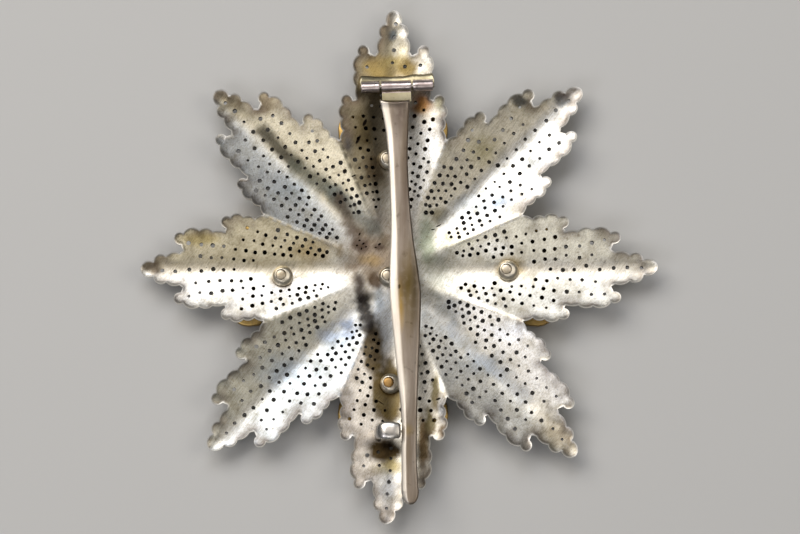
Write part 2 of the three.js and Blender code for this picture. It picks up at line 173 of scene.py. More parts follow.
# %% [markdown]
# ## The scalloped edge
#
# Each ray ends in a bead, with smaller beads at the tips of its two pairs of side rays,
# and little lobes between them. One half of the edge is a table; the other half is its
# mirror image. The eight rays differ by a millimetre or so in length and in lean, as
# hand-finished ones do.

# %% Edge table and outline
NOTCH = 20.05
DRAWN_LENGTH = 39.92
# along the ray, across it, how far the edge bows out on its way here, points on the way
HALF_EDGE = [
    (39.92, 0.0, 0, 1), (37.83, 1.16, 0.62, 7), (35.81, 2.02, 0.7, 8), (33.64, 2.48, 0.33, 7),
    (33.05, 2.9, 0, 1), (33.4, 3.75, 0, 1), (33.02, 5.43, 1.3, 12), (30.39, 5.97, 0.6, 9),
    (28.22, 5.81, 0.39, 7), (26.36, 5.74, 0.14, 5), (26.15, 6.25, 0, 1),
    (25.43, 7.91, 1.15, 11), (23.26, 7.98, 0.56, 8), (21.55, 7.75, 0.34, 6),
    (20.05, 8.305, 0.12, 4),
]
# name, length, lean of the tip to the counter-clockwise side
RAYS = [
    ("right", 41.1, 0.3), ("upper right", 40.77, -0.6), ("top", 40.77, -0.15),
    ("upper left", 39.37, -0.15), ("left", 39.2, 0.0), ("lower left", 39.97, -0.3),
    ("bottom", 39.77, -1.1), ("lower right", 40.57, -0.6),
]
CUP_RADIUS_MOST, LEAST_CUP_BULGE = 1.2, 0.2


def bowed(p, q, bulge, steps):
    """Points from p to q on an arc that bows to the right, and the cup that fills it."""
    p, q = np.array(p, float), np.array(q, float)
    if steps == 1:
        return [tuple(q)], None
    chord = q - p
    half = np.linalg.norm(chord) / 2
    out = np.array([chord[1], -chord[0]]) / (2 * half)
    radius = (half * half + bulge * bulge) / (2 * bulge)
    centre = (p + q) / 2 + out * (bulge - radius)
    start = math.atan2(*(p - centre)[::-1])
    sweep = (math.atan2(*(q - centre)[::-1]) - start) % (2 * math.pi)
    points = []
    for i in range(1, steps):
        a = start + sweep * i / steps
        points.append((centre[0] + radius * math.cos(a), centre[1] + radius * math.sin(a)))
    cup = min(radius, CUP_RADIUS_MOST)
    middle = (p + q) / 2 + out * (bulge - cup)
    return points + [tuple(q)], (middle[0], middle[1], cup)


def both_halves(half):
    """The legs of a whole edge, counter-clockwise, from the table of its upper half."""
    pairs = list(zip(half, half[1:]))
    legs = [((u2, -v2), (u1, -v1), b, n) for (u1, v1, _, _), (u2, v2, b, n) in pairs[::-1]]
    return legs + [((u1, v1), (u2, v2), b, n) for (u1, v1, _, _), (u2, v2, b, n) in pairs]


def drawn_ray():
    """Both sides of the drawn ray, counter-clockwise, and its cups."""
    points = [(HALF_EDGE[-1][0], -HALF_EDGE[-1][1])]
    cups = []
    for p, q, bulge, steps in both_halves(HALF_EDGE):
        more, cup = bowed(p, q, bulge, steps)
        points += more
        if cup and bulge > LEAST_CUP_BULGE:
            cups.append(cup)
    return points[:-1], cups


def on_star(u, v, k):
    """A place on the drawn ray, moved to ray k with that ray's length and lean."""
    _, length, lean = RAYS[k]
    out = (u - NOTCH) * (length - NOTCH) / (DRAWN_LENGTH - NOTCH) if u > NOTCH else u - NOTCH
    share = max(out, 0) / (DRAWN_LENGTH - NOTCH)
    x, y = NOTCH + out, v + lean * share * share
    a = math.radians(k * RAY_STEP)
    return x * math.cos(a) - y * math.sin(a), x * math.sin(a) + y * math.cos(a)


ray_points, ray_cups = drawn_ray()
OUTLINE = [on_star(u, v, k) for k in range(8) for u, v in ray_points]
CUPS = np.array([(*on_star(u, v, k), c) for k in range(8) for u, v, c in ray_cups])
print("outline points:", len(OUTLINE), "cups along the edge:", len(CUPS))

# %% [markdown]
# ## The struck sheet
#
# The plate could be a grid cut by a boolean, but a scalloped edge would leave ragged
# faces. Instead the outline and an even spread of points are joined by a constrained
# triangulation, so the edge runs exactly along the mesh. The same skin, lowered by the
# sheet's thickness, is its front.

# %% Spread points over the star
PITCH, FARTHEST = 0.44, 42
EDGE_ROOM = 0.3
LIP_WIDTH, LIP_HEIGHT = 0.17, 0.08
CUP_DEPTH = 0.055
WAVE, RIPPLE_SHARE = 0.06, 0.35


def inside(points, loop):
    """Which points lie inside a closed loop, by counting crossings."""
    x, y = points[:, 0], points[:, 1]
    odd = np.zeros(len(points), bool)
    for (x1, y1), (x2, y2) in zip(loop, loop[1:] + loop[:1]):
        if y1 == y2:
            continue
        crosses = (y1 > y) != (y2 > y)
        odd ^= crosses & (x < x1 + (y - y1) * (x2 - x1) / (y2 - y1))
    return odd


def distance_to_edge(points, loop):
    nearest = np.full(len(points), 1e9)
    for (x1, y1), (x2, y2) in zip(loop, loop[1:] + loop[:1]):
        d = np.array([x2 - x1, y2 - y1])
        t = np.clip(((points[:, 0] - x1) * d[0] + (points[:, 1] - y1) * d[1]) / (d @ d), 0, 1)
        away = np.hypot(points[:, 0] - x1 - t * d[0], points[:, 1] - y1 - t * d[1])
        nearest = np.minimum(nearest, away)
    return nearest


def inset(loop, by):
    """The loop moved inwards along the bisector at each of its points."""
    moved = []
    for i, p in enumerate(loop):
        p = np.array(p)
        before = p - np.array(loop[i - 1])
        after = np.array(loop[(i + 1) % len(loop)]) - p
        n = before / (np.linalg.norm(before) + 1e-9) + after / (np.linalg.norm(after) + 1e-9)
        n = np.array([-n[1], n[0]]) / (np.linalg.norm(n) + 1e-9)
        moved.append(tuple(p + n * by))
    return moved


def spread_points():
    places = [(0.0, 0.0)]
    r = PITCH
    while r < FARTHEST:
        count = 2 * max(1, math.ceil(r * math.pi / 4 / PITCH / 2))
        for k in range(8):
            for i in range(count):
                a = math.radians(k * RAY_STEP - RAY_STEP / 2 + RAY_STEP * i / count)
                places.append((r * math.cos(a), r * math.sin(a)))
        r += PITCH
    places = np.array(places)
    keep = inside(places, OUTLINE)
    places = places[keep]
    places = places[distance_to_edge(places, OUTLINE) > EDGE_ROOM]
    lip = np.array(inset(OUTLINE, LIP_WIDTH))
    lip = lip[inside(lip, OUTLINE)]
    lip = lip[distance_to_edge(lip, OUTLINE) > LIP_WIDTH * 0.85]
    return np.concatenate([places, lip])


field = spread_points()
print("points inside the edge:", len(field))

# %% Shape the back, close the sheet


def struck_height(x, y):
    """The relief with its cups, and the slight waves that a struck sheet has."""
    z = back_height(x, y)
    for cx, cy, c in CUPS:
        near = np.hypot(x - cx, y - cy) / c
        z = z - CUP_DEPTH * np.clip(1 - near**2, 0, None) ** 1.5
    to_edge = distance_to_edge(np.column_stack([x, y]), OUTLINE)
    z = z + LIP_HEIGHT * np.clip(1 - to_edge / LIP_WIDTH, 0, 1)
    return z + WAVE * (drift(x, y, 0.16, 3.0) + RIPPLE_SHARE * drift(x, y, 0.55, 7.0))


def sheet():
    """Back and front joined along the edge; a side of one triangle only is the edge."""
    edge_count = len(OUTLINE)
    flat = [Vector(p) for p in OUTLINE] + [Vector(p) for p in field]
    rim = [(i, (i + 1) % edge_count) for i in range(edge_count)]
    places, _, triangles, _, _, _ = delaunay_2d_cdt(flat, rim, [], 1, 1e-6)
    x = np.array([p.x for p in places])
    y = np.array([p.y for p in places])
    z = struck_height(x, y)
    count = len(places)
    points = list(zip(x, y, z)) + list(zip(x, y, z - PLATE_THICKNESS))
    faces, sides = [], {}
    for t in triangles:
        a, b, c = t
        if (x[b] - x[a]) * (y[c] - y[a]) - (x[c] - x[a]) * (y[b] - y[a]) < 0:
            a, c = c, a
        faces += [(a, b, c), (c + count, b + count, a + count)]
        for p, q in ((a, b), (b, c), (c, a)):
            sides[(p, q)] = sides.get((p, q), 0) + 1
    for p, q in sides:
        if (q, p) not in sides:
            faces.append((q, p, p + count, q + count))
    return make_piece("struck_sheet", points, faces)


struck = sheet()

# %% [markdown]
# ## The drilled holes
#
# More than seven hundred holes let light through the star. A worker pricked them in rows
# that fan out from the middle, a little unevenly. This is work for Geometry Nodes: marks
# where the holes go, one small drill on each mark, and one boolean that cuts them all.

# %% Mark the rows of holes
HOLE_PITCH = 0.78
HOLE_PITCH_GROWTH = 0.04
# angle off the ray's axis, first radius on upright rays, on slanted rays, last radius
HOLE_ROWS = [
    (0.0, 24.4, 23.2, 37.9), (3.75, 22.0, 17.5, 32.0), (7.5, 15.9, 13.6, 32.6),
    (11.25, 11.2, 10.8, 25.4), (15.0, 10.5, 10.4, 25.2), (18.75, 12.6, 11.6, 19.2),
]
STUDS = [("centre", -0.9, -0.9), ("top", -0.9, 17.4), ("right", 17.6, 0.0),
         ("bottom", -0.7, -17.7), ("left", -17.4, -0.9)]
STUD_ROOM = 2.3
# left, right, lower and upper side of the places where a fitting is soldered down
SOLDERED = [(-5.8, 6.9, 27.6, 31.4), (-3.9, -0.9, -27.6, -24.0)]
HOLE_EDGE_ROOM = 0.62


def hole_marks():
    marks = []
    chance = random.Random(8)
    for k in range(8):
        upright = k % 2 == 0
        for angle, first_upright, first_slanted, last in HOLE_ROWS:
            for side in ((1,) if angle == 0 else (1, -1)):
                r = first_upright if upright else first_slanted
                r += chance.uniform(-0.4, 0.5)
                while r < last:
                    a = math.radians(side * angle + chance.gauss(0, 0.28))
                    marks.append(on_star(r * math.cos(a), r * math.sin(a), k))
                    r += (HOLE_PITCH + HOLE_PITCH_GROWTH * r) * chance.uniform(0.88, 1.12)
    marks = np.array(marks)
    marks = marks[inside(marks, OUTLINE)]
    marks = marks[distance_to_edge(marks, OUTLINE) > HOLE_EDGE_ROOM]
    clear = np.ones(len(marks), bool)
    for _, x, y in STUDS:
        clear &= np.hypot(marks[:, 0] - x, marks[:, 1] - y) > STUD_ROOM
    for left, right, low, high in SOLDERED:
        clear &= ~((marks[:, 0] > left) & (marks[:, 0] < right)
                   & (marks[:, 1] > low) & (marks[:, 1] < high))
    return marks[clear]


HOLES = hole_marks()
print("holes to drill:", len(HOLES))

# %% Drill them with Geometry Nodes
HOLE_RADIUS, DRILL_LENGTH, DRILL_SIDES = 0.3, 4.0, 12
# least and most of a drill's share of the radius, and how far it leans, in radians
DRILL_LEAST, DRILL_MOST, DRILL_LEAN = 0.74, 1.22, 0.12


def node(tree, kind, settings=None, **links):
    """Adds a node. settings sets its properties; links gives each input a value or a socket.

    An input is called by its name, or by i and its number where its name isn't the only one."""
    made = tree.nodes.new(kind)
    for key, value in (settings or {}).items():
        setattr(made, key, value)
    for key, value in links.items():
        by_number = key[0] == "i" and key[1:].isdigit()
        socket = made.inputs[int(key[1:]) if by_number else key.replace("_", " ")]
        if isinstance(value, bpy.types.NodeSocket):
            tree.links.new(value, socket)
        else:
            socket.default_value = value
    return made


def node_group(name, inputs):
    """A Geometry Nodes group with a geometry going in and out, and named inputs."""
    tree = bpy.data.node_groups.new(name, "GeometryNodeTree")
    face = tree.interface
    face.new_socket("Geometry", in_out="INPUT", socket_type="NodeSocketGeometry")
    for label, kind in inputs:
        face.new_socket(label, in_out="INPUT", socket_type=kind)
    face.new_socket("Geometry", in_out="OUTPUT", socket_type="NodeSocketGeometry")
    return tree, tree.nodes.new("NodeGroupInput"), tree.nodes.new("NodeGroupOutput")


def run_group(tree, carrier, values):
    """Runs a group on a carrier object and gives back the result as a plain mesh object."""
    modifier = carrier.modifiers.new(tree.name, "NODES")
    modifier.node_group = tree
    for item in tree.interface.items_tree:
        if item.in_out == "INPUT" and item.name in values:
            modifier[item.identifier] = values[item.name]
    deps = bpy.context.evaluated_depsgraph_get()
    mesh = bpy.data.meshes.new_from_object(carrier.evaluated_get(deps))
    carrier.modifiers.remove(modifier)
    made = bpy.data.objects.new(tree.name, mesh)
    bpy.context.collection.objects.link(made)
    bpy.data.objects.remove(carrier)
    return made


def drilling_group():
    tree, given, result = node_group("drilled_sheet", [
        ("Sheet", "NodeSocketObject"), ("Hole radius", "NodeSocketFloat"),
        ("Drill length", "NodeSocketFloat"), ("Seed", "NodeSocketInt"),
        ("Finish", "NodeSocketMaterial")])
    out = given.outputs
    drill = node(tree, "GeometryNodeMeshCylinder", Vertices=DRILL_SIDES,
                 Radius=out["Hole radius"], Depth=out["Drill length"])
    size = node(tree, "FunctionNodeRandomValue", {"data_type": "FLOAT"}, i2=DRILL_LEAST,
                i3=DRILL_MOST, Seed=out["Seed"])
    turn = node(tree, "FunctionNodeRandomValue", {"data_type": "FLOAT_VECTOR"},
                i0=(-DRILL_LEAN, -DRILL_LEAN, 0.0), i1=(DRILL_LEAN, DRILL_LEAN, 3.0),
                Seed=out["Seed"])
    spots = node(tree, "GeometryNodeMeshToPoints", Mesh=out["Geometry"])
    drills = node(tree, "GeometryNodeInstanceOnPoints", Points=spots.outputs[0],
                  Instance=drill.outputs["Mesh"], Rotation=turn.outputs["Value"],
                  Scale=size.outputs[1])
    real = node(tree, "GeometryNodeRealizeInstances", Geometry=drills.outputs[0])
    plate = node(tree, "GeometryNodeObjectInfo", Object=out["Sheet"])
    cut = node(tree, "GeometryNodeMeshBoolean",
               {"operation": "DIFFERENCE", "solver": "MANIFOLD"},
               Mesh_1=plate.outputs["Geometry"], Mesh_2=real.outputs[0])
    solid = node(tree, "GeometryNodeRealizeInstances", Geometry=cut.outputs["Mesh"])
    done = node(tree, "GeometryNodeSetMaterial", Geometry=solid.outputs[0],
                Material=out["Finish"])
    tree.links.new(done.outputs[0], result.inputs[0])
    return tree


def drill(struck_sheet, finish):
    heights = back_height(HOLES[:, 0], HOLES[:, 1]) - PLATE_THICKNESS / 2
    marks = bpy.data.meshes.new("hole_marks")
    marks.from_pydata([(x * MM, y * MM, z * MM) for (x, y), z in zip(HOLES, heights)], [], [])
    carrier = bpy.data.objects.new("hole_marks", marks)
    bpy.context.collection.objects.link(carrier)
    values = {"Sheet": struck_sheet, "Hole radius": HOLE_RADIUS * MM,
              "Drill length": DRILL_LENGTH * MM, "Seed": 5, "Finish": finish}
    made = run_group(drilling_group(), carrier, values)
    bpy.data.objects.remove(struck_sheet)
    made.data.shade_smooth()
    made.data.set_sharp_from_angle(angle=math.radians(35))
    print("drilled sheet:", len(made.data.polygons), "faces")
    return made


toned_silver = bpy.data.materials.new("toned stamped silver")
star_plate = drill(struck, toned_silver)

# %% [markdown]
# ## The hinge leaf
#
# A strip of silver is soldered across the top ray. It stands up behind the barrel and is
# rolled into two fixed knuckles. The solder has run to a wavy edge. Strip and wall are
# skins through rings; the knuckles are turned tubes, as rolled ones look once dressed.

# %% Barrel, leaf and solder
HINGE_X, HINGE_Y, HINGE_Z, HINGE_TILT = 0.5, 28.1, 7.9, 2.1
KNUCKLE_RADIUS, KNUCKLE_BORE, WIRE_RADIUS = 0.9, 0.55, 0.32
LEFT_KNUCKLE, PIN_KNUCKLE, RIGHT_KNUCKLE = (-5.4, -2.6), (-2.3, 2.3), (2.6, 5.7)
KNUCKLE_SIDES, KNUCKLE_SOFT, KNUCKLE_ROUGH = 44, 0.1, 0.02
WIRE_OVERHANG, WIRE_SIDES = 0.25, 24
LEAF_IN, LEAF_OUT, FOOT_OUT = 0.2, 0.9, 2.5
LEAF_MIDDLE_TOP, LEAF_SIDE_RISE = 6.5, 0.3
FOOT_LEFT, FOOT_WIDTH, FOOT_STEPS = -5.6, 11.5, 60


def on_barrel(x, y, z):
    """From barrel places (x along it, y behind it, z over its middle) to the star's."""
    a = math.radians(HINGE_TILT)
    return (HINGE_X + x * math.cos(a) - y * math.sin(a),
            HINGE_Y + x * math.sin(a) + y * math.cos(a), HINGE_Z + z)


def knuckle(name, ends, seed):
    """A tube with softened ends and slightly uneven walls."""
    soft = KNUCKLE_SOFT
    start, stop = ends
    profile = [(start + 0.02, KNUCKLE_BORE), (start, KNUCKLE_BORE + 0.05),
               (start, KNUCKLE_RADIUS - soft), (start + soft * 0.3, KNUCKLE_RADIUS - soft * 0.3),
               (start + soft, KNUCKLE_RADIUS)]
    profile += [(start + soft + (stop - start - 2 * soft) * i / 12, KNUCKLE_RADIUS)
                for i in range(1, 12)]
    profile += [(stop - soft, KNUCKLE_RADIUS), (stop - soft * 0.3, KNUCKLE_RADIUS - soft * 0.3),
                (stop, KNUCKLE_RADIUS - soft), (stop, KNUCKLE_BORE + 0.05),
                (stop - 0.02, KNUCKLE_BORE)]
    rings = []
    for x, r in profile:
        ring = []
        for c, s in circle(KNUCKLE_SIDES):
            worn = r
            if r == KNUCKLE_RADIUS:
                worn = r + (KNUCKLE_ROUGH * noise.noise(Vector((x * 1.3, c + seed, s)))
                            - KNUCKLE_ROUGH)
            ring.append(on_barrel(x, -worn * c, worn * s))
        rings.append(ring)
    return make_piece(name, *skin(rings, looped=True))


def skin_under(x, y):
    place = on_barrel(x, y, 0)
    return float(back_height(place[0], place[1])) - HINGE_Z


def leaf_wall(name, start, stop, top):
    """A wall from the plate up to a height, with rounded upper corners."""
    rings = []
    for i in range(25):
        x = start + (stop - start) * i / 24
        low = skin_under(x, 0.5) - 0.3
        worn = 0.02 * noise.noise(Vector((x, top, 2.0)))
        high = top - HINGE_Z + worn
        ring = [(LEAF_OUT, low), (LEAF_OUT, high - 0.12), (LEAF_OUT - 0.1, high),
                (LEAF_IN + 0.1, high), (LEAF_IN, high - 0.12), (LEAF_IN, low)]
        rings.append([on_barrel(x, y, z) for y, z in ring])
    return make_piece(name, *skin(rings), 50)


def leaf_foot():
    """The soldered strip: it follows the trough and thins out to a wavy solder edge."""
    rings = []
    count = FOOT_STEPS
    for i in range(count + 1):
        x = FOOT_LEFT + FOOT_WIDTH * i / count
        wavy = 0.16 * noise.noise(Vector((x * 0.55, 0.0, 4.0)))
        wavy += 0.05 * noise.noise(Vector((x * 2.3, 0.0, 9.0)))
        end = min(1.0, 0.8 + 12 * min(i, count - i) / count)
        outer = LEAF_IN + (FOOT_OUT - LEAF_IN - 0.15) * end + wavy
        ring = []
        for y, rise in ((LEAF_IN - 0.15, 0.06), (LEAF_IN - 0.05, 0.3), (LEAF_IN + 0.25, 0.46),
                        (LEAF_OUT, 0.5), (outer - 0.7, 0.5), (outer - 0.35, 0.42),
                        (outer - 0.12, 0.22), (outer, 0.02)):
            ring.append(on_barrel(x, y, skin_under(x, y) + rise * (0.55 + 0.45 * end)))
        ring.append(on_barrel(x, outer - 0.1, skin_under(x, outer) - 0.35))
        ring.append(on_barrel(x, LEAF_IN, skin_under(x, LEAF_IN) - 0.35))
        rings.append(ring[::-1])
    return make_piece("leaf_foot", *skin(rings), 60)


def joined(name, pieces):
    """Several closed skins in one mesh, as a soldered piece is one in the hand."""
    with bpy.context.temp_override(active_object=pieces[0], selected_editable_objects=pieces):
        bpy.ops.object.join()
    pieces[0].name = pieces[0].data.name = name
    return pieces[0]


hinge_leaf = joined("hinge_leaf", [
    leaf_foot(),
    leaf_wall("wall_middle", LEFT_KNUCKLE[1] - 0.02, RIGHT_KNUCKLE[0] + 0.02, LEAF_MIDDLE_TOP),
    leaf_wall("wall_left", *LEFT_KNUCKLE, HINGE_Z + LEAF_SIDE_RISE),
    leaf_wall("wall_right", *RIGHT_KNUCKLE, HINGE_Z + LEAF_SIDE_RISE),
    knuckle("knuckle_left", LEFT_KNUCKLE, 1.0),
    knuckle("knuckle_right", RIGHT_KNUCKLE, 2.0),
])

# %% Hinge wire


def hinge_wire_piece():
    """Drawn wire through the barrel, with rounded ends."""
    start, stop = LEFT_KNUCKLE[0] - WIRE_OVERHANG, RIGHT_KNUCKLE[1] + WIRE_OVERHANG
    end = [(0.02, 0.12), (0.06, 0.26), (0.14, WIRE_RADIUS), (0.3, WIRE_RADIUS)]
    profile = [(start + x, r) for x, r in end] + [(stop - x, r) for x, r in end[::-1]]
    rings = [[on_barrel(x, -r * c, r * s) for c, s in circle(WIRE_SIDES)][::-1]
             for x, r in profile]
    return make_piece("hinge_wire_drawn", *skin(rings))


hinge_wire = hinge_wire_piece()

# %% [markdown]
# ## The brooch pin
#
# The pin is one flat forged blade with a knuckle rolled at its root. It swells in the
# middle and thins again towards its rounded end, where it slips under the catch. Its left
# side carries a broad bevel that catches the light. A skin through cross-sections keeps
# that bevel running the whole length.

# %% Blade, tongue and knuckle
BLADE_DROP, BLADE_THICKNESS = 0.5, 0.85
SHOULDER_HOLLOW, SHOULDER_BRIM = 0.35, 0.1
# out from the hinge: the shoulder, the start of the rounded end, and the end
BLADE_ROOT, ROUND_FROM, BLADE_END = 2.1, 63.4, 65.2
ROUND_LENGTH, ROUND_MIDDLE, ROUND_HALF = 1.8, 2.66, 1.27
TONGUE_LEFT, TONGUE_WIDTH = -2.25, 4.5
# out from the hinge, left edge, right edge
BLADE_ROWS = [
    (2.1, -2.1, 2.6), (4.0, -1.65, 2.5), (7.1, -1.1, 2.4), (10.2, -0.8, 2.3), (16.4, -0.5, 2.5),
    (22.6, -0.35, 3.0), (28.8, -0.5, 3.9), (31.9, -0.5, 4.3), (35.0, -0.3, 4.3),
    (38.1, 0.0, 4.2), (44.3, 0.6, 3.95), (50.5, 1.2, 3.75), (53.6, 1.35, 3.7),
    (56.7, 1.3, 3.65), (59.8, 1.3, 3.75), (62.2, 1.3, 3.9), (64.0, 1.45, 3.9),
    (64.9, 1.95, 3.4), (65.2, 2.4, 2.95),
]
# share of the width, share of the thickness
BLADE_SECTION = [
    (0.03, 0.04), (0.08, 0.0), (0.5, 0.0), (0.92, 0.0), (0.97, 0.04), (1.0, 0.16),
    (1.0, 0.5), (0.995, 0.64), (0.975, 0.78), (0.94, 0.88), (0.88, 0.95), (0.78, 0.98),
    (0.62, 0.995), (0.44, 1.0), (0.34, 0.995), (0.28, 0.98), (0.24, 0.95), (0.16, 0.86),
    (0.08, 0.76), (0.03, 0.69), (0.0, 0.6), (0.0, 0.14),
]


def blade():
    outs, lefts, rights = np.array(BLADE_ROWS).T
    steps = np.concatenate([np.linspace(BLADE_ROOT, 2.6, 5)[:-1],
                            np.linspace(2.6, ROUND_FROM, 130),
                            np.linspace(63.5, BLADE_END, 16)])
    left = through(outs, lefts, steps)
    right = through(outs, rights, steps)
    rings = []
    for out, a, b in zip(steps, left, right):
        if out > ROUND_FROM:
            half = ROUND_HALF * math.sqrt(max(0.0, 1 - ((out - ROUND_FROM) / ROUND_LENGTH) ** 2))
            a, b = ROUND_MIDDLE - half - 0.02, ROUND_MIDDLE + half + 0.02
        thin = min(1.0, 0.7 + 1.2 * (out - BLADE_ROOT))
        thin *= min(1.0, 0.55 + (BLADE_END - out) * 1.4)
        shoulder = max(0.0, 1 - (out - BLADE_ROOT) / 1.6)
        ring = []
        for across, up in BLADE_SECTION:
            x = a + (b - a) * across
            hollow = SHOULDER_HOLLOW * shoulder * (1 - (2 * across - 1) ** 2)
            brim = SHOULDER_BRIM * max(0.0, 1 - abs(out - 2.45) / 0.5) if up > 0.6 else 0
            worn = 0.03 * noise.noise(Vector((x * 0.5, out * 0.13, up)))
            flatter = thin if up > 0.3 else min(1.0, thin + 0.2)
            lift = BLADE_THICKNESS * (0.5 + (up - 0.5) * flatter)
            z = HINGE_Z - BLADE_DROP + lift + brim + (worn - 0.03 if up > 0.3 else 0)
            ring.append((x, HINGE_Y - out - hollow, z))
        rings.append(ring[::-1])
    return make_piece("blade", *skin(rings), 28)


def tongue():
    """The thinner step between the blade's shoulder and its knuckle."""
    rings = []
    for i in range(21):
        x = TONGUE_LEFT + TONGUE_WIDTH * i / 20
        ring = [(-0.5, -0.48), (-0.5, -0.02), (-1.0, 0.0), (-2.1, -0.02), (-2.45, -0.1),
                (-2.45, -0.45), (-2.1, -0.5), (-0.9, -0.5)]
        rings.append([on_barrel(x, y, z) for y, z in ring])
    return make_piece("tongue", *skin(rings), 40)


pin_pieces = [blade(), tongue(), knuckle("pin_knuckle", PIN_KNUCKLE, 3.0)]
pin_blade = joined("pin_blade_forged", pin_pieces)

# %% [markdown]
# ## The catch
#
# A stout strap is soldered to the left of the pin, rises, and bends towards it. The real
# lip reaches over the pin, which springs aside to leave it. This one ends just beside the
# pin, so that a rigid one swings up past it. It is a skin through rounded sections along a
# smooth curve, spread at its foot where the solder sits.

# %% Hook
CATCH_OUT = 53.85
BLADE_LEFT_THERE = 1.35
CROWN_OVER_BLADE = 0.7
FOOT_SUNK = 0.25
CATCH_STEPS, CATCH_SIDES = 56, 28
FULLNESS, FLATTER_UNDER = 0.8, 0.72
# before the blade's edge, share of the way up, width, thickness
CATCH_ROWS = [
    (3.6, 0.0, 2.6, 1.6), (3.63, 0.06, 2.25, 1.35), (3.7, 0.16, 2.0, 1.1),
    (3.77, 0.3, 1.9, 1.0), (3.82, 0.62, 2.1, 1.04), (3.6, 0.86, 2.5, 1.05),
    (2.85, 0.975, 2.7, 1.05), (1.8, 1.0, 2.75, 1.0), (0.9, 1.0, 2.5, 0.9),
    (0.3, 0.985, 2.1, 0.6), (0.18, 0.98, 1.7, 0.35),
]


def fuller(share):
    """Makes an oval section squarer: a share of its half width, pushed outwards."""
    return math.copysign(abs(share) ** FULLNESS, share)


def hook():
    """The strap, from its foot on the plate to its end beside the pin."""
    y0 = HINGE_Y - CATCH_OUT
    before, up, widths, thicknesses = np.array(CATCH_ROWS).T
    xs = BLADE_LEFT_THERE - before
    foot = float(back_height(xs[0], y0)) - FOOT_SUNK
    crown = HINGE_Z - BLADE_DROP + BLADE_THICKNESS + CROWN_OVER_BLADE
    zs = foot + (crown - foot) * up
    run = np.cumsum([0, *np.hypot(np.diff(xs), np.diff(zs))])
    at = np.linspace(0, run[-1], CATCH_STEPS)
    x, z, width, thick = (through(run, row, at) for row in (xs, zs, widths, thicknesses))
    dx, dz = np.gradient(x), np.gradient(z)
    rings = []
    for i in range(len(at)):
        length = math.hypot(dx[i], dz[i])
        ring = []
        for c, s in circle(CATCH_SIDES):
            across, out = fuller(c) * width[i] / 2, fuller(s) * thick[i] / 2
            out *= FLATTER_UNDER if out < 0 else 1.0
            worn = 1 + 0.03 * noise.noise(Vector((x[i] * 0.9, across, z[i] * 0.9)))
            ring.append((x[i] - dz[i] / length * out * worn, y0 + across * worn,
                         z[i] + dx[i] / length * out * worn))
        rings.append(ring)
    return make_piece("catch_hook", *skin(rings), 60)


catch_hook = hook()

# %% [markdown]
# ## The stud nuts and the gilt cross
#
# Five domed nuts hold the front ornament. Each is a little worn cap with a hole through
# which its post shows, slightly off the middle. The cross behind them is gilt, and only
# its lobes look out beside the upright rays; its hidden front is finished plainly, and
# where it lies under the sheet its faces are painted dark as painted shade.

# %% Domed nuts
NUT_RADIUS, NUT_HEIGHT, NUT_BORE = 1.6, 1.15, 0.82
NUT_OFF_X, NUT_OFF_Y = 0.28, -0.12
NUT_ROOM_UNDER, NUT_SIDES, DENT = 0.15, 48, 0.035
# share of the radius, share of the height
NUT_DOME = [(0.97, 0.0), (1.0, 0.04), (1.0, 0.17), (0.985, 0.26), (0.95, 0.38), (0.9, 0.49),
            (0.83, 0.6), (0.75, 0.7), (0.66, 0.79)]
# radius over the bore's, share of the height
NUT_MOUTH = [(0.12, 0.86), (0.03, 0.86), (0.0, 0.82), (0.0, 0.02)]


def nut_base(stud):
    """The height of a nut's underside, clear of the sheet all round."""
    _, x, y = stud
    around = level_ring(x + NUT_OFF_X, y + NUT_OFF_Y, NUT_RADIUS, 0, 8)
    return float(max(back_height(px, py) for px, py, _ in around)) + NUT_ROOM_UNDER


def nut(stud):
    """A dome whose bore lies a little off its middle, so each ring shifts on the way in."""
    name, x, y = stud
    base = nut_base(stud)
    cx, cy = x + NUT_OFF_X, y + NUT_OFF_Y
    rings = [level_ring(cx, cy, share * NUT_RADIUS, base + up * NUT_HEIGHT, NUT_SIDES)
             for share, up in NUT_DOME]
    rings += [level_ring(x, y, NUT_BORE + more, base + up * NUT_HEIGHT, NUT_SIDES)
              for more, up in NUT_MOUTH]
    for i, ring in enumerate(rings):
        for j, (px, py, pz) in enumerate(ring):
            dent = DENT * noise.noise(Vector((px * 0.9, py * 0.9, pz)))
            ring[j] = (px + dent, py + dent, pz + (dent - 0.02 if 2 < i < 10 else 0))
    return make_piece("nut_" + name, *skin(rings, looped=True), 40)


nuts = {stud[0]: nut(stud) for stud in STUDS}

# %% Gilt cross with its posts
POST_RADIUS, POST_SHARE, POST_FROM, POST_SIDES = 0.76, 0.9, 1.3, 32
# in from the edge, height
CROSS_LEVELS = [(0.3, 0.0), (0.1, 0.08), (0.02, 0.28), (0.0, 0.6), (0.0, 1.0), (0.02, 1.32),
                (0.1, 1.52), (0.3, 1.6)]
# along the arm, across it, how far the edge bows, points on the way
HALF_ARM = [
    (24.9, 0.0, 0, 1), (25.3, 3.7, 0, 1), (21.7, 8.5, 1.9, 14), (19.4, 4.7, 1.35, 10),
    (12.0, 3.1, -0.25, 6), (2.9, 2.9, -0.1, 6),
]


def hollowed(p, q, bulge, steps):
    """As bowed, for an edge that may also curve inwards."""
    if bulge >= 0:
        return bowed(p, q, bulge, steps)[0]
    back = bowed(q, p, -bulge, steps)[0]
    return back[:-1][::-1] + [tuple(q)]


def cross_outline():
    points = [(HALF_ARM[-1][0], -HALF_ARM[-1][1])]
    for leg in both_halves(HALF_ARM):
        points += hollowed(*leg)
    arm = points[:-1]
    turns = [(1, 0), (0, 1), (-1, 0), (0, -1)]
    return [(u * c - v * s, u * s + v * c) for c, s in turns for u, v in arm]


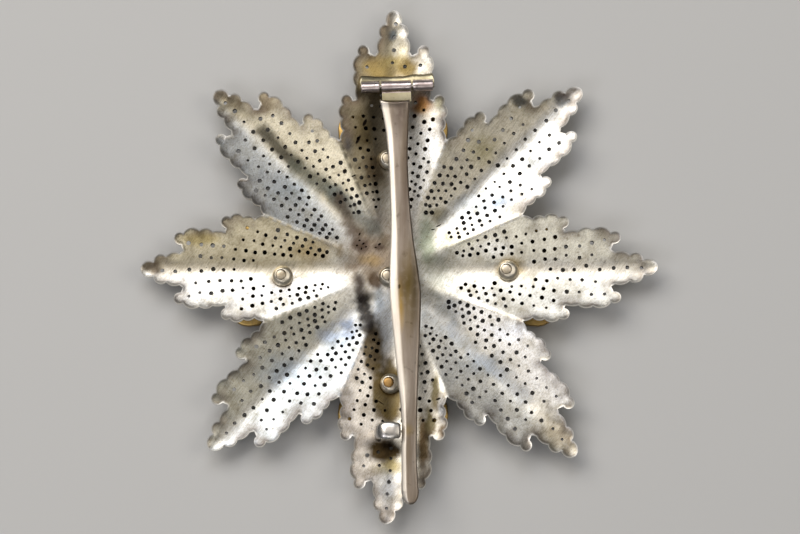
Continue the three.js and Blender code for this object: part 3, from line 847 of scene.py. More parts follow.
def cross_piece():
    """The cross, and the five posts that stand on it."""
    loop = cross_outline()
    rings = [[(x, y, z) for x, y in inset(loop, by)] for by, z in CROSS_LEVELS]
    made = [make_piece("gilt_cross", *skin(rings), 40)]
    for stud in STUDS:
        name, x, y = stud
        top = nut_base(stud) + POST_SHARE * NUT_HEIGHT
        shape = [(POST_RADIUS, POST_FROM), (POST_RADIUS, top - 0.1),
                 (POST_RADIUS - 0.06, top - 0.05), (POST_RADIUS - 0.3, top - 0.01), (0.2, top)]
        rings = [level_ring(x, y, r, z, POST_SIDES) for r, z in shape]
        made.append(make_piece("post_" + name, *skin(rings), 40))
    return made


gilt_cross, *posts = cross_piece()

# %% [markdown]
# ## Toning, wear and painted light
#
# Silver that has lain for a century turns yellow, brown, olive and blue-grey where film
# has grown, and stays bright on the edges that fingers rub. A stain on this star sits at
# one place and nowhere else, so stains are a short table of places, sizes and colours,
# blended into a colour attribute on the sheet. The shader then breaks them up. Not all of
# it is film: each flank's colour is partly painted light and shade, some white patches are
# painted highlights, bands along three of the valleys and the bottom ray's trough carry
# painted shade, and the oval under the catch is partly its painted shadow.

# %% Colours and stains


def linear(hex_colour):
    """sRGB hex to the linear colour that shaders work in."""
    values = [int(hex_colour[i:i + 2], 16) / 255 for i in (1, 3, 5)]
    return tuple(v / 12.92 if v <= 0.04045 else ((v + 0.055) / 1.055) ** 2.4 for v in values)


BARE_SILVER = "#e9e6de"
EDGE_FILM, EDGE_FILM_SHARE, EDGE_FILM_REACH = "#62544a", 0.8, 2.2
# how far a stain's border strays, how far in the rim is rubbed, share of a hole's radius
# round it that is left unrubbed, so that the hole's walls take the painted shade
WOBBLE, RUBBED_REACH, HOLE_RIM = 0.4, 0.3, 1.4
# ray, side (1 is counter-clockwise of its axis), colour, strength. Each flank's colour is
# partly its film and partly painted light and shade: flanks that face the soft boxes are
# whitened as painted highlights, and others are darkened as painted shade.
FLANKS = [
    (0, 1, "#d3ccb6", 0.6), (0, -1, "#c3bfb2", 0.5), (1, 1, "#cfc5aa", 0.6),
    (1, -1, "#dedede", 0.7), (2, 1, "#6f6446", 0.85), (2, -1, "#fbfaf6", 0.9),
    (3, 1, "#c2c6c6", 0.6), (3, -1, "#d8cba4", 0.7), (4, 1, "#f8f4ea", 0.9),
    (4, -1, "#b9a878", 0.65), (5, 1, "#9ea8b2", 0.75), (5, -1, "#a09e8c", 0.65),
    (6, 1, "#efebe0", 0.7), (6, -1, "#e0dad3", 0.85), (7, 1, "#f2eee4", 0.85),
    (7, -1, "#c4c0b4", 0.5),
]
# what it is, x, y, reach along x, reach along y, colour, strength, softness of its border
STAINS = [
    ("brown film over the hub", -3.0, 2.6, 6.0, 6.5, "#84725c", 0.85, 0.7),
    ("grey hub, right of the pin", 6.5, 0.0, 4.5, 7.5, "#85867a", 0.8, 0.9),
    ("blue-grey below the hub", -1.4, -8.2, 2.2, 5.6, "#b3bac2", 0.8, 0.6),
    ("green film right of the pin", 5.2, 5.0, 1.8, 4.5, "#86927a", 0.7, 0.8),
    ("grey below, right of the pin", 8.0, -6.5, 4.0, 3.6, "#8c9092", 0.65, 0.8),
    ("pits left of the hub", -2.2, 3.8, 1.2, 0.7, "#4a3a34", 0.8, 0.7),
    ("brown pits further left", -4.8, 4.0, 1.6, 1.2, "#54403a", 0.85, 0.8),
    ("grey between the smear and the pin", -2.3, -4.4, 1.2, 2.6, "#7b8288", 0.8, 0.7),
    ("blue base beside the smear", -7.0, -9.0, 2.2, 3.0, "#5a677f", 0.85, 0.9),
    ("dark ring left of the middle stud", -2.7, -1.7, 1.0, 1.4, "#4a3620", 0.85, 0.4),
    ("ochre above the middle stud", -3.4, 1.5, 1.9, 1.2, "#ad9468", 0.7, 0.8),
    ("rust beside the pin's root", 4.5, 26.0, 1.8, 2.0, "#b5762c", 0.95, 0.7),
    ("tan round the rust", 5.2, 24.2, 2.4, 2.4, "#b39a6a", 0.5, 0.9),
    ("yellow film over the hinge", -0.8, 31.6, 4.6, 2.2, "#a58f58", 0.85, 0.5),
    ("olive film over the hinge", 1.5, 33.6, 4.5, 3.0, "#a89a66", 0.6, 0.9),
    ("yellow film further right", 2.3, 31.4, 1.9, 2.0, "#7d6b3e", 0.85, 0.6),
    ("white corner over the hinge", 5.1, 31.4, 1.3, 1.1, "#f3eddc", 0.8, 0.5),
    ("grey tip of the top ray", 0.3, 37.6, 2.2, 3.4, "#8f8668", 0.65, 0.9),
    ("blue spot at the top ray's tip", 0.0, 37.0, 0.7, 1.0, "#4f5d66", 0.85, 0.6),
    ("brown left of the pin's root", -4.8, 21.5, 2.6, 6.2, "#4b4027", 0.85, 0.9),
    ("dark brown by the top stud", -3.0, 15.8, 1.8, 2.6, "#46361f", 0.7, 0.6),
    ("dark line on the top ray's left side", -7.0, 19.6, 0.9, 2.4, "#3f3e42", 0.85, 0.9),
    ("olive right side of the top ray", 7.2, 26.4, 0.9, 2.4, "#8d8a62", 0.75, 0.6),
    ("grey right edge of the top ray", 8.0, 22.4, 0.8, 2.6, "#7e8084", 0.75, 0.5),
    ("olive tip of the upper left ray", -26.0, 26.5, 4.5, 4.5, "#6d6546", 0.7, 0.9),
    ("brown upper edge of the upper left ray", -20.0, 27.0, 3.0, 3.0, "#6e5937", 0.7, 0.6),
    ("blue side of the upper left ray", -15.5, 12.6, 4.6, 2.6, "#a2adb4", 0.55, 0.9),
    ("yellow below the oval", -0.9, -31.0, 2.6, 1.5, "#b5a873", 0.65, 0.8),
    # The brown oval is partly a stain and partly the catch's painted shadow; its dark core is
    # painted shadow right under the catch.
    ("brown stain and painted shadow under the catch", -1.4, -28.3, 2.8, 2.0, "#4c3f2a", 1.0, 0.45),
    ("painted shadow right under the catch", -0.5, -27.4, 2.2, 1.0, "#1e1710", 0.95, 0.8),
    ("brown above the catch", -0.4, -22.6, 2.0, 1.5, "#41351f", 0.9, 0.7),
    # The bottom ray's trough is brown film, darkened further as painted shade.
    ("brown tint and painted shade in the bottom ray's trough, inner", -3.1, -12.2, 1.6, 4.8, "#62543a", 0.95, 0.5),
    ("brown tint and painted shade in the bottom ray's trough, outer", -0.8, -19.0, 2.5, 5.2, "#6b5d3c", 0.97, 0.35),
    ("yellow spot below the catch", -0.2, -30.6, 1.5, 1.4, "#c2b27a", 0.7, 0.6),
    ("tan beside the pin's end", 4.7, -27.0, 0.9, 4.4, "#8f7850", 0.9, 0.45),
    ("olive band on the bottom ray's right, upper", 6.5, -19.5, 0.7, 3.0, "#7a7050", 0.95, 0.4),
    ("olive band on the bottom ray's right, lower", 5.6, -24.6, 0.7, 3.2, "#7a7050", 0.95, 0.4),
    ("blue film at the bottom ray's right edge", 7.6, -22.0, 0.8, 1.9, "#bcc6d0", 0.8, 0.5),
    ("brown edge of the bottom ray's right", 7.6, -25.4, 0.9, 1.0, "#7a6745", 0.8, 0.5),
    ("grey left edge of the bottom ray", -7.2, -21.4, 1.5, 4.4, "#aaa6a4", 0.7, 0.6),
    ("blue-white tip of the bottom ray", -1.2, -34.0, 2.6, 3.0, "#d3d8dc", 0.7, 0.8),
    ("olive tip of the lower right ray", 25.5, -26.5, 5.5, 5.5, "#8a7b58", 0.65, 0.9),
    ("grey valley of the lower right ray", 14.5, -15.0, 4.5, 2.4, "#8f969b", 0.6, 0.9),
    # A painted highlight along the right ray's upper side.
    ("painted highlight along the right ray", 26.0, 0.6, 12.0, 1.2, "#f6f1e6", 0.7, 0.8),
    ("yellow ring round the right stud", 18.4, 0.3, 2.4, 2.0, "#ab9255", 0.7, 0.6),
    ("brown shade of the left stud", -17.7, -2.5, 1.5, 1.5, "#7a6540", 0.95, 0.25),
    ("ochre ring round the bottom stud", -0.6, -17.9, 2.1, 2.1, "#5d4a28", 0.8, 0.5),
    ("blue film on the lower left ray", -15.8, -16.2, 5.6, 3.6, "#a6b2be", 0.8, 0.9),
    ("blue base of the lower left ray", -9.6, -10.6, 2.6, 2.2, "#8492a8", 0.7, 0.9),
    ("blue base of the upper right ray", 12.5, 10.0, 4.0, 2.4, "#a3afba", 0.6, 0.9),
    ("blue lower side of the upper right ray", 16.5, 10.6, 2.4, 1.6, "#96a2b4", 0.9, 0.7),
    ("blue-grey outer part of it", 22.0, 16.8, 3.0, 1.4, "#b2bac2", 0.7, 0.7),
    ("dark spot at the upper right ray's edge", 19.8, 26.4, 1.3, 1.0, "#474c4c", 0.9, 0.5),
    ("dark tip of the upper right ray", 26.2, 26.8, 1.5, 1.3, "#4d555a", 0.9, 0.5),
    ("olive film on the upper right ray", 14.0, 18.6, 3.0, 2.6, "#a39a66", 0.55, 0.9),
    ("olive base between top and upper right", 7.0, 8.6, 1.6, 1.4, "#6f6846", 0.7, 0.6),
    # The next four are painted highlights on flanks that face the soft boxes.
    ("painted highlight over the right stud", 16.0, 3.4, 3.4, 1.5, "#fbf8f0", 0.9, 0.8),
    ("painted highlight under the left stud", -19.0, -3.4, 6.0, 1.6, "#ffffff", 0.8, 0.9),
    ("painted highlight on the top ray's right", 6.0, 19.6, 1.6, 5.0, "#fbfdff", 0.8, 0.9),
    ("painted highlight on the lower right ray", 18.4, -9.6, 5.0, 1.8, "#fbfdff", 0.7, 0.9),
    ("green film over the right ray's base", 9.8, 4.6, 3.0, 1.7, "#a8a67e", 0.45, 0.9),
    ("tan film on the left ray's base", -12.5, 3.0, 4.5, 2.2, "#9a8457", 0.65, 0.8),
    ("dark tip of the left ray", -37.6, 0.4, 1.6, 1.4, "#5b5040", 0.85, 0.5),
    ("yellow side of the left ray", -30.0, 4.6, 3.4, 1.2, "#b3a066", 0.75, 0.7),
    ("end of the smear", -3.6, -9.6, 1.4, 2.0, "#3d362c", 0.85, 0.9),
]
# what it is, from x, y, to x, y, half width, colour, strength. The lines along the upper
# left valley, the grey band along the upper right ray and the blue band of the lower right
# valley are painted shade along the troughs, tinted like the film round them.
BANDS = [
    ("dark line of the upper left valley", -20.4, 21.8, -15.0, 16.4, 0.9, "#423f34", 0.85),
    ("fainter line of it", -15.0, 16.2, -8.0, 11.2, 1.25, "#6a6c60", 0.8),
    ("blue-green side of its lower end", -9.4, 12.0, -2.8, 6.4, 1.15, "#6c7572", 0.55),
    ("brown side of its lower end", -8.4, 11.0, -5.0, 4.0, 1.0, "#574a3f", 0.8),
    ("dark smear, upper part", -5.4, -1.2, -4.9, -4.4, 0.75, "#473c36", 0.9),
    ("dark smear, lower part", -4.6, -4.6, -4.0, -8.4, 1.35, "#1d1a19", 0.97),
    ("grey band along the upper right ray", 7.8, 7.8, 25.4, 24.8, 0.9, "#74787a", 0.6),
    ("blue band of the lower right valley", 9.0, -9.2, 20.5, -20.0, 1.1, "#8591a1", 0.5),
]
# Matt patches beside the pin: x, y, reach along x, reach along y
MATT_PATCHES = [(5.1, -16.5, 2.0, 8.0), (4.5, 15.5, 2.0, 9.0)]
# Short cracks and oblong pits: x, y, half length, half width, turn in degrees
MARKS = [
    (-2.0, -20.7, 0.75, 0.07, -33), (-4.4, 23.0, 0.65, 0.27, 65), (-5.4, 20.3, 0.85, 0.24, 62),
    (7.0, -20.4, 0.42, 0.16, 20), (7.1, 7.0, 0.5, 0.11, 28), (6.2, 6.4, 0.35, 0.1, 12),
    (-6.1, 14.6, 0.45, 0.13, 25), (-5.2, 4.7, 0.2, 0.14, 0), (-4.6, 4.2, 0.26, 0.15, 40),
    (-5.6, 3.9, 0.2, 0.14, 10), (-4.9, 3.4, 0.22, 0.13, 70), (-4.2, 3.7, 0.2, 0.12, 20),
    (-2.1, 4.1, 0.3, 0.17, 30), (-2.7, 3.6, 0.2, 0.12, 0), (-5.2, 5.7, 0.3, 0.13, 60),
]


def lay_tint(colour, share, tint):
    """Lays a tint over the colours, as thick as its share at each place says; most tints are film,
    some are painted light and shade.
    """
    colour += share[:, None] * (np.array(linear(tint)) - colour)


def toning(x, y):
    """The colour of the film at places on the sheet, in millimetres, with painted light and shade
    on flanks, valleys and highlights.
    """
    wobble_x, wobble_y = drift(x, y, 0.35, 1.0), drift(x, y, 0.35, 5.0)
    fine = drift(x, y, 0.9, 8.0)
    ray, _, across = ray_place(x, y)
    to_edge = distance_to_edge(np.column_stack([x, y]), OUTLINE)
    colour = np.tile(np.array(linear(BARE_SILVER)), (len(x), 1))
    # Each flank takes its film and its painted light and shade.
    for k, side, tint, strength in FLANKS:
        on_side = 1 / (1 + np.exp(-side * (across + 0.5 * wobble_x) / 0.5))
        from_hub = np.clip((np.hypot(x, y) - 6) / 8, 0, 1)
        lay_tint(colour, strength * (ray == k) * on_side * from_hub, tint)
    for _, cx, cy, rx, ry, tint, strength, softness in STAINS:
        away = np.hypot((x - cx + WOBBLE * wobble_x) / rx, (y - cy + WOBBLE * wobble_y) / ry)
        lay_tint(colour, strength * np.clip((1.15 - away + 0.3 * fine) / softness, 0, 1), tint)
    for _, x1, y1, x2, y2, half, tint, strength in BANDS:
        way = np.array([x2 - x1, y2 - y1])
        t = np.clip(((x - x1) * way[0] + (y - y1) * way[1]) / (way @ way), 0, 1)
        away = np.hypot(x - x1 - t * way[0] + WOBBLE * wobble_x,
                        y - y1 - t * way[1] + WOBBLE * wobble_y) / half
        lay_tint(colour, strength * np.clip(1.5 - away + 0.4 * fine, 0, 1), tint)
    share = EDGE_FILM_SHARE * np.clip(1 - to_edge / EDGE_FILM_REACH, 0, 1)
    lay_tint(colour, share * np.clip(0.7 + 1.6 * wobble_y + 0.8 * fine, 0, 1), EDGE_FILM)
    return colour


def matt(x, y):
    """1 in the middle of a matt patch, 0 outside them all."""
    share = np.zeros(len(x))
    for cx, cy, rx, ry in MATT_PATCHES:
        away = np.hypot((x - cx) / rx, (y - cy) / ry)
        share = np.maximum(share, np.clip(1.5 - 1.2 * away, 0, 1))
    return share


def rubbed(x, y):
    """1 on the outer rim, 0 inside the sheet and on the rims of its holes."""
    places = np.column_stack([x, y])
    rim = np.clip(1 - distance_to_edge(places, OUTLINE) / RUBBED_REACH, 0, 1)
    to_hole = np.full(len(x), 9.0)
    for hx, hy in HOLES:
        to_hole = np.minimum(to_hole, np.hypot(x - hx, y - hy))
    return np.where(to_hole < HOLE_RADIUS * HOLE_RIM, 0.0, rim)


def tone_sheet(piece):
    """Stores the film colour with its painted light and shade, matt share and wear at the sheet's
    points, for its shader.
    """
    mesh = piece.data
    place = np.empty(len(mesh.vertices) * 3)
    mesh.vertices.foreach_get("co", place)
    place = place.reshape(-1, 3) / MM
    x, y = place[:, 0], place[:, 1]
    tone = mesh.attributes.new("toning", "FLOAT_COLOR", "POINT")
    tone.data.foreach_set("color", np.column_stack([toning(x, y), matt(x, y)]).ravel())
    wear = mesh.attributes.new("rubbed", "FLOAT", "POINT")
    wear.data.foreach_set("value", rubbed(x, y))
    print("toned", len(x), "points with", len(STAINS) + len(BANDS), "stains and bands")


tone_sheet(star_plate)

# %% [markdown]
# ## The metals
#
# Every piece is metal, so each shader is a metallic one: colour is what the film lets
# through, and roughness is how finely the surface is scratched. Noise at the size of real
# specks and scratches breaks both up, and a little of it goes into a bump.

# %% Shader helpers
BUMP_DEPTH = 0.03


def shader_tree(material):
    """An empty shader, and the place on the piece that its patterns hang on."""
    material.use_nodes = True
    tree = material.node_tree
    tree.nodes.clear()
    return tree, node(tree, "ShaderNodeTexCoord").outputs["Object"]


def metal_surface(tree, colour, rough, height):
    bump = node(tree, "ShaderNodeBump", Strength=0.3, Distance=BUMP_DEPTH * MM, Height=height)
    metal = node(tree, "ShaderNodeBsdfPrincipled", Metallic=1.0, Base_Color=colour,
                 Roughness=rough, Normal=bump.outputs[0])
    node(tree, "ShaderNodeOutputMaterial", Surface=metal.outputs[0])


def specks(tree, place, size_mm, detail=3.0, stretch=(1, 1, 1)):
    """Noise whose blots are about size_mm across."""
    mapped = node(tree, "ShaderNodeMapping", Vector=place, Scale=stretch).outputs[0]
    return node(tree, "ShaderNodeTexNoise", Vector=mapped, Scale=1 / (size_mm * MM),
                Detail=detail).outputs["Fac"]


def mark(tree, place, x, y, long, wide, turn, solid=0.75):
    """1 in the solid middle of an oblong mark at a place in millimetres, 0 outside it."""
    mapped = node(tree, "ShaderNodeMapping", {"vector_type": "TEXTURE"}, Vector=place,
                  Location=(x * MM, y * MM, 0), Rotation=(0, 0, math.radians(turn)),
                  Scale=(long * MM, wide * MM, 1000.0)).outputs[0]
    away = node(tree, "ShaderNodeVectorMath", {"operation": "LENGTH"}, i0=mapped).outputs["Value"]
    return ramp(tree, away, solid, 1.1, 1, 0)


def lean(tree, normal, axis):
    """How far a face leans along an axis: 1 when it looks along it, -1 when against it."""
    faces = node(tree, "ShaderNodeNewGeometry").outputs[normal]
    return node(tree, "ShaderNodeSeparateXYZ", Vector=faces).outputs[axis]


def ramp(tree, value, low, high, to_low=0.0, to_high=1.0):
    return node(tree, "ShaderNodeMapRange", i0=value, i1=low, i2=high, i3=to_low,
                i4=to_high).outputs[0]


def blend(tree, share, first, second, kind="MIX"):
    made = node(tree, "ShaderNodeMix", {"data_type": "RGBA", "blend_type": kind})
    for index, value in ((0, share), (6, first), (7, second)):
        if isinstance(value, bpy.types.NodeSocket):
            tree.links.new(value, made.inputs[index])
        elif index == 0:
            made.inputs[index].default_value = value
        else:
            made.inputs[index].default_value = (*linear(value), 1)
    return made.outputs[2]


def scratches(tree, place, across_mm, along, turn_degrees):
    """Fine lines: noise drawn out along one direction."""
    turned = node(tree, "ShaderNodeMapping", Vector=place,
                  Rotation=(0, 0, math.radians(turn_degrees))).outputs[0]
    return specks(tree, turned, across_mm, 2.0, (1, 1 / along, 1))


# %% Toned silver of the sheet
# Stamped silver sheet, toned: warm grey metal under a film that is yellow where thin and
# brown to blue where thick; rubbed edges are bare and bright. The colour attribute also
# carries painted light and shade, and the walls of the holes are painted near black as
# painted shade.
def finish_toned_silver(material):
    tree, place = shader_tree(material)
    toned = node(tree, "ShaderNodeAttribute", {"attribute_name": "toning"})
    tint, matt_share = toned.outputs["Color"], toned.outputs["Alpha"]
    rub = node(tree, "ShaderNodeAttribute", {"attribute_name": "rubbed"}).outputs["Fac"]
    clouds = specks(tree, place, 2.6, 6.0)
    blots = specks(tree, place, 0.7, 4.0)
    grit = specks(tree, place, 0.25, 3.0)
    colour = blend(tree, ramp(tree, clouds, 0.52, 0.7, 0, 0.4), tint, "#a09474", "MULTIPLY")
    colour = blend(tree, ramp(tree, grit, 0.38, 0.6, 0.35, 0), colour, "#c2b698", "MULTIPLY")
    lines = scratches(tree, place, 0.16, 14, 35)
    colour = blend(tree, ramp(tree, lines, 0.48, 0.64, 0, 0.3), colour, "#8d8470", "MULTIPLY")
    colour = blend(tree, ramp(tree, blots, 0.61, 0.73, 0, 0.45), colour, "#5e5038")
    colour = blend(tree, ramp(tree, grit, 0.64, 0.74, 0, 0.7), colour, "#2c241a")
    for x, y, long, wide, turn in MARKS:
        colour = blend(tree, mark(tree, place, x, y, long, wide, turn), colour, "#120d0a")
    colour = blend(tree, ramp(tree, rub, 0.25, 0.9, 0, 0.8), colour, "#fbf8f0")
    # Steep faces away from the rubbed rim, the walls of the holes, are painted near black: painted
    # shade inside the holes.
    level = node(tree, "ShaderNodeMath", {"operation": "ABSOLUTE"},
                 i0=lean(tree, "True Normal", "Z")).outputs[0]
    wall = ramp(tree, level, 0.25, 0.6, 1, 0)
    inner = node(tree, "ShaderNodeMath", {"operation": "MULTIPLY"}, i0=wall,
                 i1=ramp(tree, rub, 0.1, 0.3, 1, 0)).outputs[0]
    colour = blend(tree, inner, colour, "#15100c")
    rough = ramp(tree, clouds, 0.3, 0.7, 0.3, 0.44)
    rough = node(tree, "ShaderNodeMath", {"operation": "ADD"}, i0=rough,
                 i1=ramp(tree, matt_share, 0, 1, 0, 0.25)).outputs[0]
    rough = node(tree, "ShaderNodeMath", {"operation": "ADD"}, i0=rough,
                 i1=ramp(tree, rub, 0.2, 1.0, 0.0, 0.2)).outputs[0]
    height = node(tree, "ShaderNodeMath", {"operation": "ADD"}, i0=blots, i1=lines).outputs[0]
    height = node(tree, "ShaderNodeMath", {"operation": "ADD"}, i0=height, i1=grit).outputs[0]
    metal_surface(tree, colour, rough, height)


finish_toned_silver(toned_silver)

# %% The other metals


def size_of(tree, place, axis):
    """How far a place is from the middle along X or Y, whichever way."""
    along = node(tree, "ShaderNodeSeparateXYZ", Vector=place).outputs[axis]
    return node(tree, "ShaderNodeMath", {"operation": "ABSOLUTE"}, i0=along).outputs[0]


DARK_BORDER = 0.8
# On the pin: x, y, half length, half width, turn, colour, strength, share that is solid
PIN_STAINS = [
    (2.4, -3.4, 8.5, 1.5, 90, "#66552f", 0.8, 0.1),
    (1.2, -6.0, 4.5, 0.6, 92, "#a98a48", 0.8, 0.1),
    (2.0, 12.0, 10.0, 0.9, 88, "#6d5f54", 0.6, 0.1),
    (3.3, -3.6, 7.0, 0.8, 88, "#453922", 0.75, 0.1),
    (2.4, -2.6, 2.6, 1.0, 80, "#4b3f22", 0.7, 0.1),
    (0.95, -3.3, 0.4, 0.24, 80, "#0f0b08", 1.0, 0.7),
    (2.2, -25.6, 1.3, 1.1, 0, "#86734f", 0.75, 0.1),
    (1.0, 24.0, 4.5, 1.6, 88, "#5a4d44", 0.75, 0.1),
    (1.4, -3.0, 5.0, 1.2, 90, "#564526", 0.7, 0.1),
    (1.6, -19.5, 4.0, 1.0, 90, "#d6cdbd", 0.5, 0.1),
]


def plain_metal(name, colour, tint, rough, speck_mm=0.8, turn=0, film_share=0.6, painted_shade_within=0,
                streaks=1.0, stains=(), left_highlight=None):
    """Worn metal with patches of film, dark grit in its pits and fine scratches.

    turn is the scratches' direction in degrees and streaks how far patches are drawn out
    along Y. painted_shade_within is how many millimetres off both middle lines a dark colour
    reaches on the faces that look up: painted shade where they lie under the sheet, with
    tarnish. left_highlight is the colour painted on faces that lean to the left, a painted
    highlight."""
    material = bpy.data.materials.new(name)
    tree, place = shader_tree(material)
    clouds = specks(tree, place, speck_mm * 3 / streaks ** 0.5, 5.0, (1, 1 / streaks, 1))
    blots = specks(tree, place, speck_mm, 4.0)
    shade = blend(tree, ramp(tree, clouds, 0.4, 0.66, 0, film_share), colour, tint)
    shade = blend(tree, ramp(tree, blots, 0.62, 0.74, 0, 0.5), shade, "#3a3020")
    for x, y, long, wide, angle, stain, strength, solid in stains:
        inside_it = mark(tree, place, x, y, long, wide, angle, solid)
        share = node(tree, "ShaderNodeMath", {"operation": "MULTIPLY"}, i0=inside_it,
                     i1=ramp(tree, blots, 0.3, 0.5, 0.55 * strength, strength)).outputs[0]
        shade = blend(tree, share, shade, stain)
    # Faces that lean to the left are painted lighter: a painted highlight on the bevel.
    if left_highlight:
        to_left = ramp(tree, lean(tree, "Normal", "X"), -0.26, -0.06, 0.75, 0)
        shade = blend(tree, to_left, shade, left_highlight)
    if painted_shade_within:
        off = node(tree, "ShaderNodeMath", {"operation": "MINIMUM"},
                   i0=size_of(tree, place, "X"), i1=size_of(tree, place, "Y")).outputs[0]
        hidden = node(tree, "ShaderNodeMath", {"operation": "MULTIPLY"},
                      i0=ramp(tree, lean(tree, "True Normal", "Z"), 0.3, 0.8),
                      i1=ramp(tree, off, (painted_shade_within - DARK_BORDER) * MM, painted_shade_within * MM, 1, 0))
        shade = blend(tree, hidden.outputs[0], shade, "#2a2013")
    polish = ramp(tree, clouds, 0.3, 0.7, rough - 0.06, rough + 0.1)
    metal_surface(tree, shade, polish, scratches(tree, place, 0.12, 18, turn))
    return material


# Forged silver, worn by use: dull pinkish grey, scratched along its length; its left bevel
# is painted lighter, a painted highlight.
pin_silver = plain_metal("worn forged silver", "#93887c", "#6f6150", 0.36, 1.2, 2, 0.8,
                         streaks=9.0, stains=PIN_STAINS, left_highlight="#ded6ca")
# Cast or turned silver of the nuts: olive-brown film, bright where rubbed.
stud_silver = plain_metal("toned turned silver", "#e4dccb", "#9c8c68", 0.36, 0.5, 0, 0.4)
# Bright rubbed silver of the catch.
catch_silver = plain_metal("rubbed silver strap", "#d8d4cf", "#8d8069", 0.24, 0.9, 80, 0.45)
# Soldered leaf: yellowish where the solder ran, pink-grey on the knuckles.
leaf_silver = plain_metal("soldered silver strip", "#b3aa8e", "#857a5a", 0.4, 0.7, 90)
# Fire gilding, worn: copper shows through the gold. Within 7 mm of its middle lines, faces
# that look up at the sheet are painted dark: painted shade under the sheet, with tarnish.
worn_gilding = plain_metal("worn fire gilding", "#bd9f62", "#86602f", 0.38, 0.8, 20, 0.5, 7.0)
# The posts' filed ends, where the gilding is gone and film has grown.
dull_gilt = plain_metal("filed post end", "#c9bda8", "#7a6a4c", 0.36, 0.5, 10)
# The bottom post's end, where the copper shows.
copper_gilt = plain_metal("coppery post end", "#a98552", "#7e5c34", 0.45, 0.4, 10, 0.8)
# Bright rolled silver of the knuckles.
knuckle_silver = plain_metal("rolled silver knuckle", "#d0c2bd", "#7c6a63", 0.3, 0.6, 90, 0.6)
# Drawn wire, dull.
wire_silver = plain_metal("drawn silver wire", "#a79f92", "#6d6250", 0.35, 0.4, 90)
print("materials:", len(bpy.data.materials))

# %% Dress every piece
TONGUE_END = -2.46
# piece, material, body that carries it, solids that it replaces, material slot
DRESSED = [
    (star_plate, toned_silver, "star", ["star_plate"], "toned_silver"),
    (hinge_leaf, leaf_silver, "star", ["star_plate"], "toned_silver"),
    (catch_hook, catch_silver, "star", ["star_plate"], "toned_silver"),
    (gilt_cross, worn_gilding, "star", ["front_cross"], "gilt"),
    (hinge_wire, wire_silver, "star", ["hinge_wire"], "wire"),
    (pin_blade, pin_silver, "pin", ["pin_blade"], "pin_silver"),
]
DRESSED += [(piece, stud_silver, "star", ["stud_" + name], "stud_silver")
            for name, piece in nuts.items()]
DRESSED += [(post, copper_gilt if stud[0] == "bottom" else dull_gilt, "star", ["front_cross"],
             "gilt") for stud, post in zip(STUDS, posts)]


def dress_barrel(piece, material, tongue_material=None):
    """Gives the faces round the hinge's middle line, and a tongue's, a material of their own."""
    piece.data.materials.append(material)
    if tongue_material:
        piece.data.materials.append(tongue_material)
    a = math.radians(HINGE_TILT)
    for face in piece.data.polygons:
        x, y, z = (c / MM for c in face.center)
        behind = (y - HINGE_Y) * math.cos(a) - (x - HINGE_X) * math.sin(a)
        if math.hypot(behind, z - HINGE_Z) < KNUCKLE_RADIUS + 0.02:
            face.material_index = 1
        elif tongue_material and TONGUE_END < behind < -KNUCKLE_RADIUS and z < HINGE_Z + 0.01:
            face.material_index = 2


for piece, material, body, solids, slot in DRESSED:
    piece.data.materials.clear()
    piece.data.materials.append(material)
    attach(piece, body)
    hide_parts(*solids)
    print(piece.name, "rides on", body, "for", solids)
dress_barrel(hinge_leaf, knuckle_silver)
dress_barrel(pin_blade, knuckle_silver, leaf_silver)

# %% [markdown]
# ## Floor, light and camera
#
# Metal shows what stands around it. The largest soft box stands at the upper left and
# whitens the flanks that lean that way; smaller ones at the top, right, bottom and lower
# left fill the others, and a weak one overhead lights what lies level. Between them the
# room stays dim, which gives the troughs their bands of light and dark. The camera stands
# almost over the star, as the photographer's did, with a long lens.

# %% Floor and lights
TARGET = Vector((0, 0, 3 * MM))
FLOOR_WIDTH = 4.0


def floor_piece():
    half = FLOOR_WIDTH / 2
    mesh = bpy.data.meshes.new("floor")
    corners = [(-half, -half, 0), (half, -half, 0), (half, half, 0), (-half, half, 0)]
    mesh.from_pydata(corners, [], [(0, 1, 2, 3)])
    floor = bpy.data.objects.new("floor", mesh)
    bpy.context.collection.objects.link(floor)
    paper = bpy.data.materials.new("pale paper")
    paper.use_nodes = True
    coat = paper.node_tree.nodes["Principled BSDF"]
    coat.inputs["Base Color"].default_value = (*linear("#b9b8b5"), 1)
    coat.inputs["Roughness"].default_value = 0.8
    mesh.materials.append(paper)


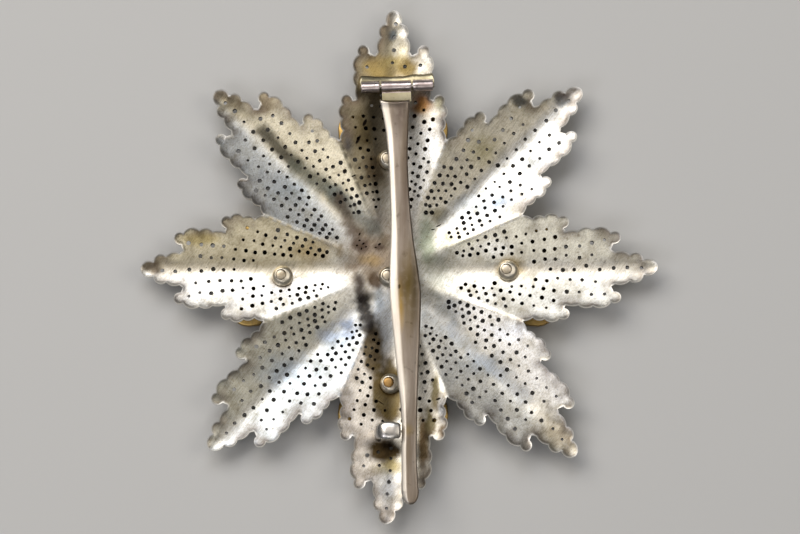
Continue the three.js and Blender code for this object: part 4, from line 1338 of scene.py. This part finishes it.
def aim(name, data, azimuth, height, away):
    """Puts a lamp or a camera at an azimuth (0 is the viewer's side) and a height in
    degrees, and turns it to the star."""
    thing = bpy.data.objects.new(name, data)
    a, e = math.radians(azimuth - 90), math.radians(height)
    way = Vector((math.cos(e) * math.cos(a), math.cos(e) * math.sin(a), math.sin(e)))
    thing.location = TARGET + way * away
    thing.rotation_euler = way.to_track_quat("Z", "Y").to_euler()
    bpy.context.collection.objects.link(thing)
    return thing


def soft_light(name, azimuth, height, away, width, power, colour="#ffffff"):
    data = bpy.data.lights.new(name, "AREA")
    data.shape, data.size, data.energy = "SQUARE", width, power
    data.color = linear(colour)
    aim(name, data, azimuth, height, away)


floor_piece()
soft_light("soft box at the upper left", -132, 54, 0.7, 0.45, 3.0, "#fffbf6")
soft_light("soft box at the top", 178, 56, 0.8, 0.35, 1.3, "#f2f6ff")
soft_light("soft box at the right", 92, 54, 0.8, 0.4, 1.15, "#fffaf4")
soft_light("fill at the lower left", -48, 50, 0.9, 0.35, 1.1, "#f6f6ff")
soft_light("soft box at the bottom", 0, 58, 0.9, 0.35, 0.7)
soft_light("soft box overhead", 180, 80, 0.9, 0.35, 0.35, "#fff6f0")
world = bpy.data.worlds.new("studio")
world.use_nodes = True
room = world.node_tree.nodes["Background"]
room.inputs["Color"].default_value = (*linear("#c9ccd0"), 1)
room.inputs["Strength"].default_value = 0.14
bpy.context.scene.world = world
bpy.context.scene.view_settings.view_transform = "Standard"

# %% Camera
ELEVATION, AZIMUTH, DISTANCE = 82.0, 0.0, 0.95
# The star is 80.3 mm wide and takes 517 of the picture's 800 pixels.
PICTURE_WIDTH = 800
VIEW_WIDTH = 80.3 / 517 * PICTURE_WIDTH * MM
SENSOR_WIDTH = 36

view = bpy.data.cameras.new("camera")
view.sensor_width = SENSOR_WIDTH
view.lens = SENSOR_WIDTH * DISTANCE / VIEW_WIDTH
view.shift_x, view.shift_y = 7 / PICTURE_WIDTH, 3 / PICTURE_WIDTH
bpy.context.scene.camera = aim("camera", view, AZIMUTH, ELEVATION, DISTANCE)
print("view width at the star:", round(VIEW_WIDTH, 4), "m")
